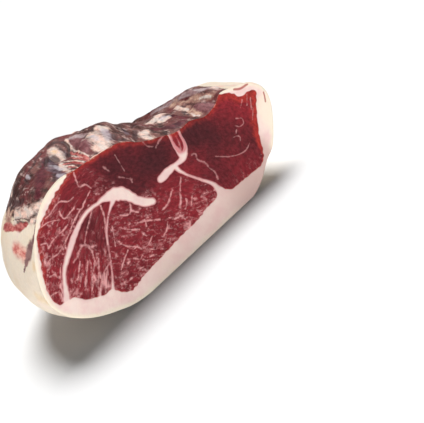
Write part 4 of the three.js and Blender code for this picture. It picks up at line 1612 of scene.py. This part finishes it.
@dataclass
class Studio:
    """Pale floor, soft lights, and the camera at the photograph's angle."""

    turn: float = radians(-22.0)
    rise: float = radians(22.0)
    roll: float = radians(34.33)
    distance: float = 1.150
    target: tuple[float, float, float] = (0.02616, -0.08246, 0.01498)
    lens: float = 126.8
    floor_half: float = 30.0
    floor_colour: Colour = (0.9, 0.9, 0.9, 1.0)

    def camera(self) -> None:
        """Place the camera. It looks along its back axis and is rolled about it."""
        back = Vector((sin(self.turn) * cos(self.rise), -cos(self.turn) * cos(self.rise), sin(self.rise)))
        right = Vector((0, 0, 1)).cross(back).normalized()
        up = back.cross(right)
        across = right * cos(self.roll) - up * sin(self.roll)
        above = right * sin(self.roll) + up * cos(self.roll)
        place = Vector(self.target) + back * self.distance
        data = bpy.data.cameras.new("photo_camera")
        data.lens = self.lens
        data.sensor_width = 36.0
        data.sensor_fit = "HORIZONTAL"
        camera = bpy.data.objects.new("photo_camera", data)
        camera.matrix_world = Matrix.Translation(place) @ Matrix((across, above, back)).transposed().to_4x4()
        bpy.context.scene.collection.objects.link(camera)
        bpy.context.scene.camera = camera

    def floor(self) -> None:
        """Lay the floor: a wide flat sheet."""
        half = self.floor_half
        mesh = bpy.data.meshes.new("floor")
        mesh.from_pydata([(-half, -half, 0), (half, -half, 0), (half, half, 0), (-half, half, 0)],
                         [], [(0, 1, 2, 3)])
        recipe = Recipe("floor_paper")
        grain = recipe.noise(recipe.object_place, 900.0, 2.0)
        mesh.materials.append(recipe.finish(self.floor_colour, 0.9, [(grain, 0.02, 0.0002)]))
        floor = bpy.data.objects.new("floor", mesh)
        bpy.context.scene.collection.objects.link(floor)

    def lamp(self, name: str, turn: float, rise: float, spread: float, power: float, bounces: int
             ) -> None:
        """Light the studio evenly from one side through a wide soft screen.

        Args:
            name: Name of the lamp.
            turn: Degrees round the ham from the front, towards the right.
            rise: Degrees above the floor.
            spread: Degrees that the screen spans.
            power: Light on a surface that faces the lamp, where pi makes white paper white.
            bounces: How often its light is thrown on from one surface to the next.
        """
        data = bpy.data.lights.new(name, "SUN")
        data.angle = radians(spread)
        data.energy = power
        data.cycles.max_bounces = bounces
        lamp = bpy.data.objects.new(name, data)
        turn, rise = radians(turn), radians(rise)
        away = Vector((sin(turn) * cos(rise), -cos(turn) * cos(rise), sin(rise)))
        lamp.location = away * 3.0
        lamp.rotation_euler = away.to_track_quat("Z", "Y").to_euler()
        bpy.context.scene.collection.objects.link(lamp)

    def build(self) -> None:
        """Set up the whole studio."""
        self.camera()
        self.floor()
        world = bpy.data.worlds.new("studio_air")
        world.use_nodes = True
        world.node_tree.nodes["Background"].inputs["Color"].default_value = (1, 1, 1, 1)
        world.node_tree.nodes["Background"].inputs["Strength"].default_value = 0.08
        bpy.context.scene.world = world
        self.lamp("top_lamp", 124.0, 64.0, 30.0, 1.15 * pi, 4)
        self.lamp("front_lamp", -22.0, 1.5, 14.0, 1.1 * pi, 0)
        self.lamp("left_lamp", -100.0, 1.5, 14.0, 0.5 * pi, 0)
        bpy.context.scene.view_settings.view_transform = "Standard"


def main() -> None:
    """Build the studio and the ham."""
    Studio().build()
    Ham().build()
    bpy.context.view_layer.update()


if __name__ == "__main__":
    logging.basicConfig(level=logging.INFO, format="%(name)s: %(message)s")
    main()
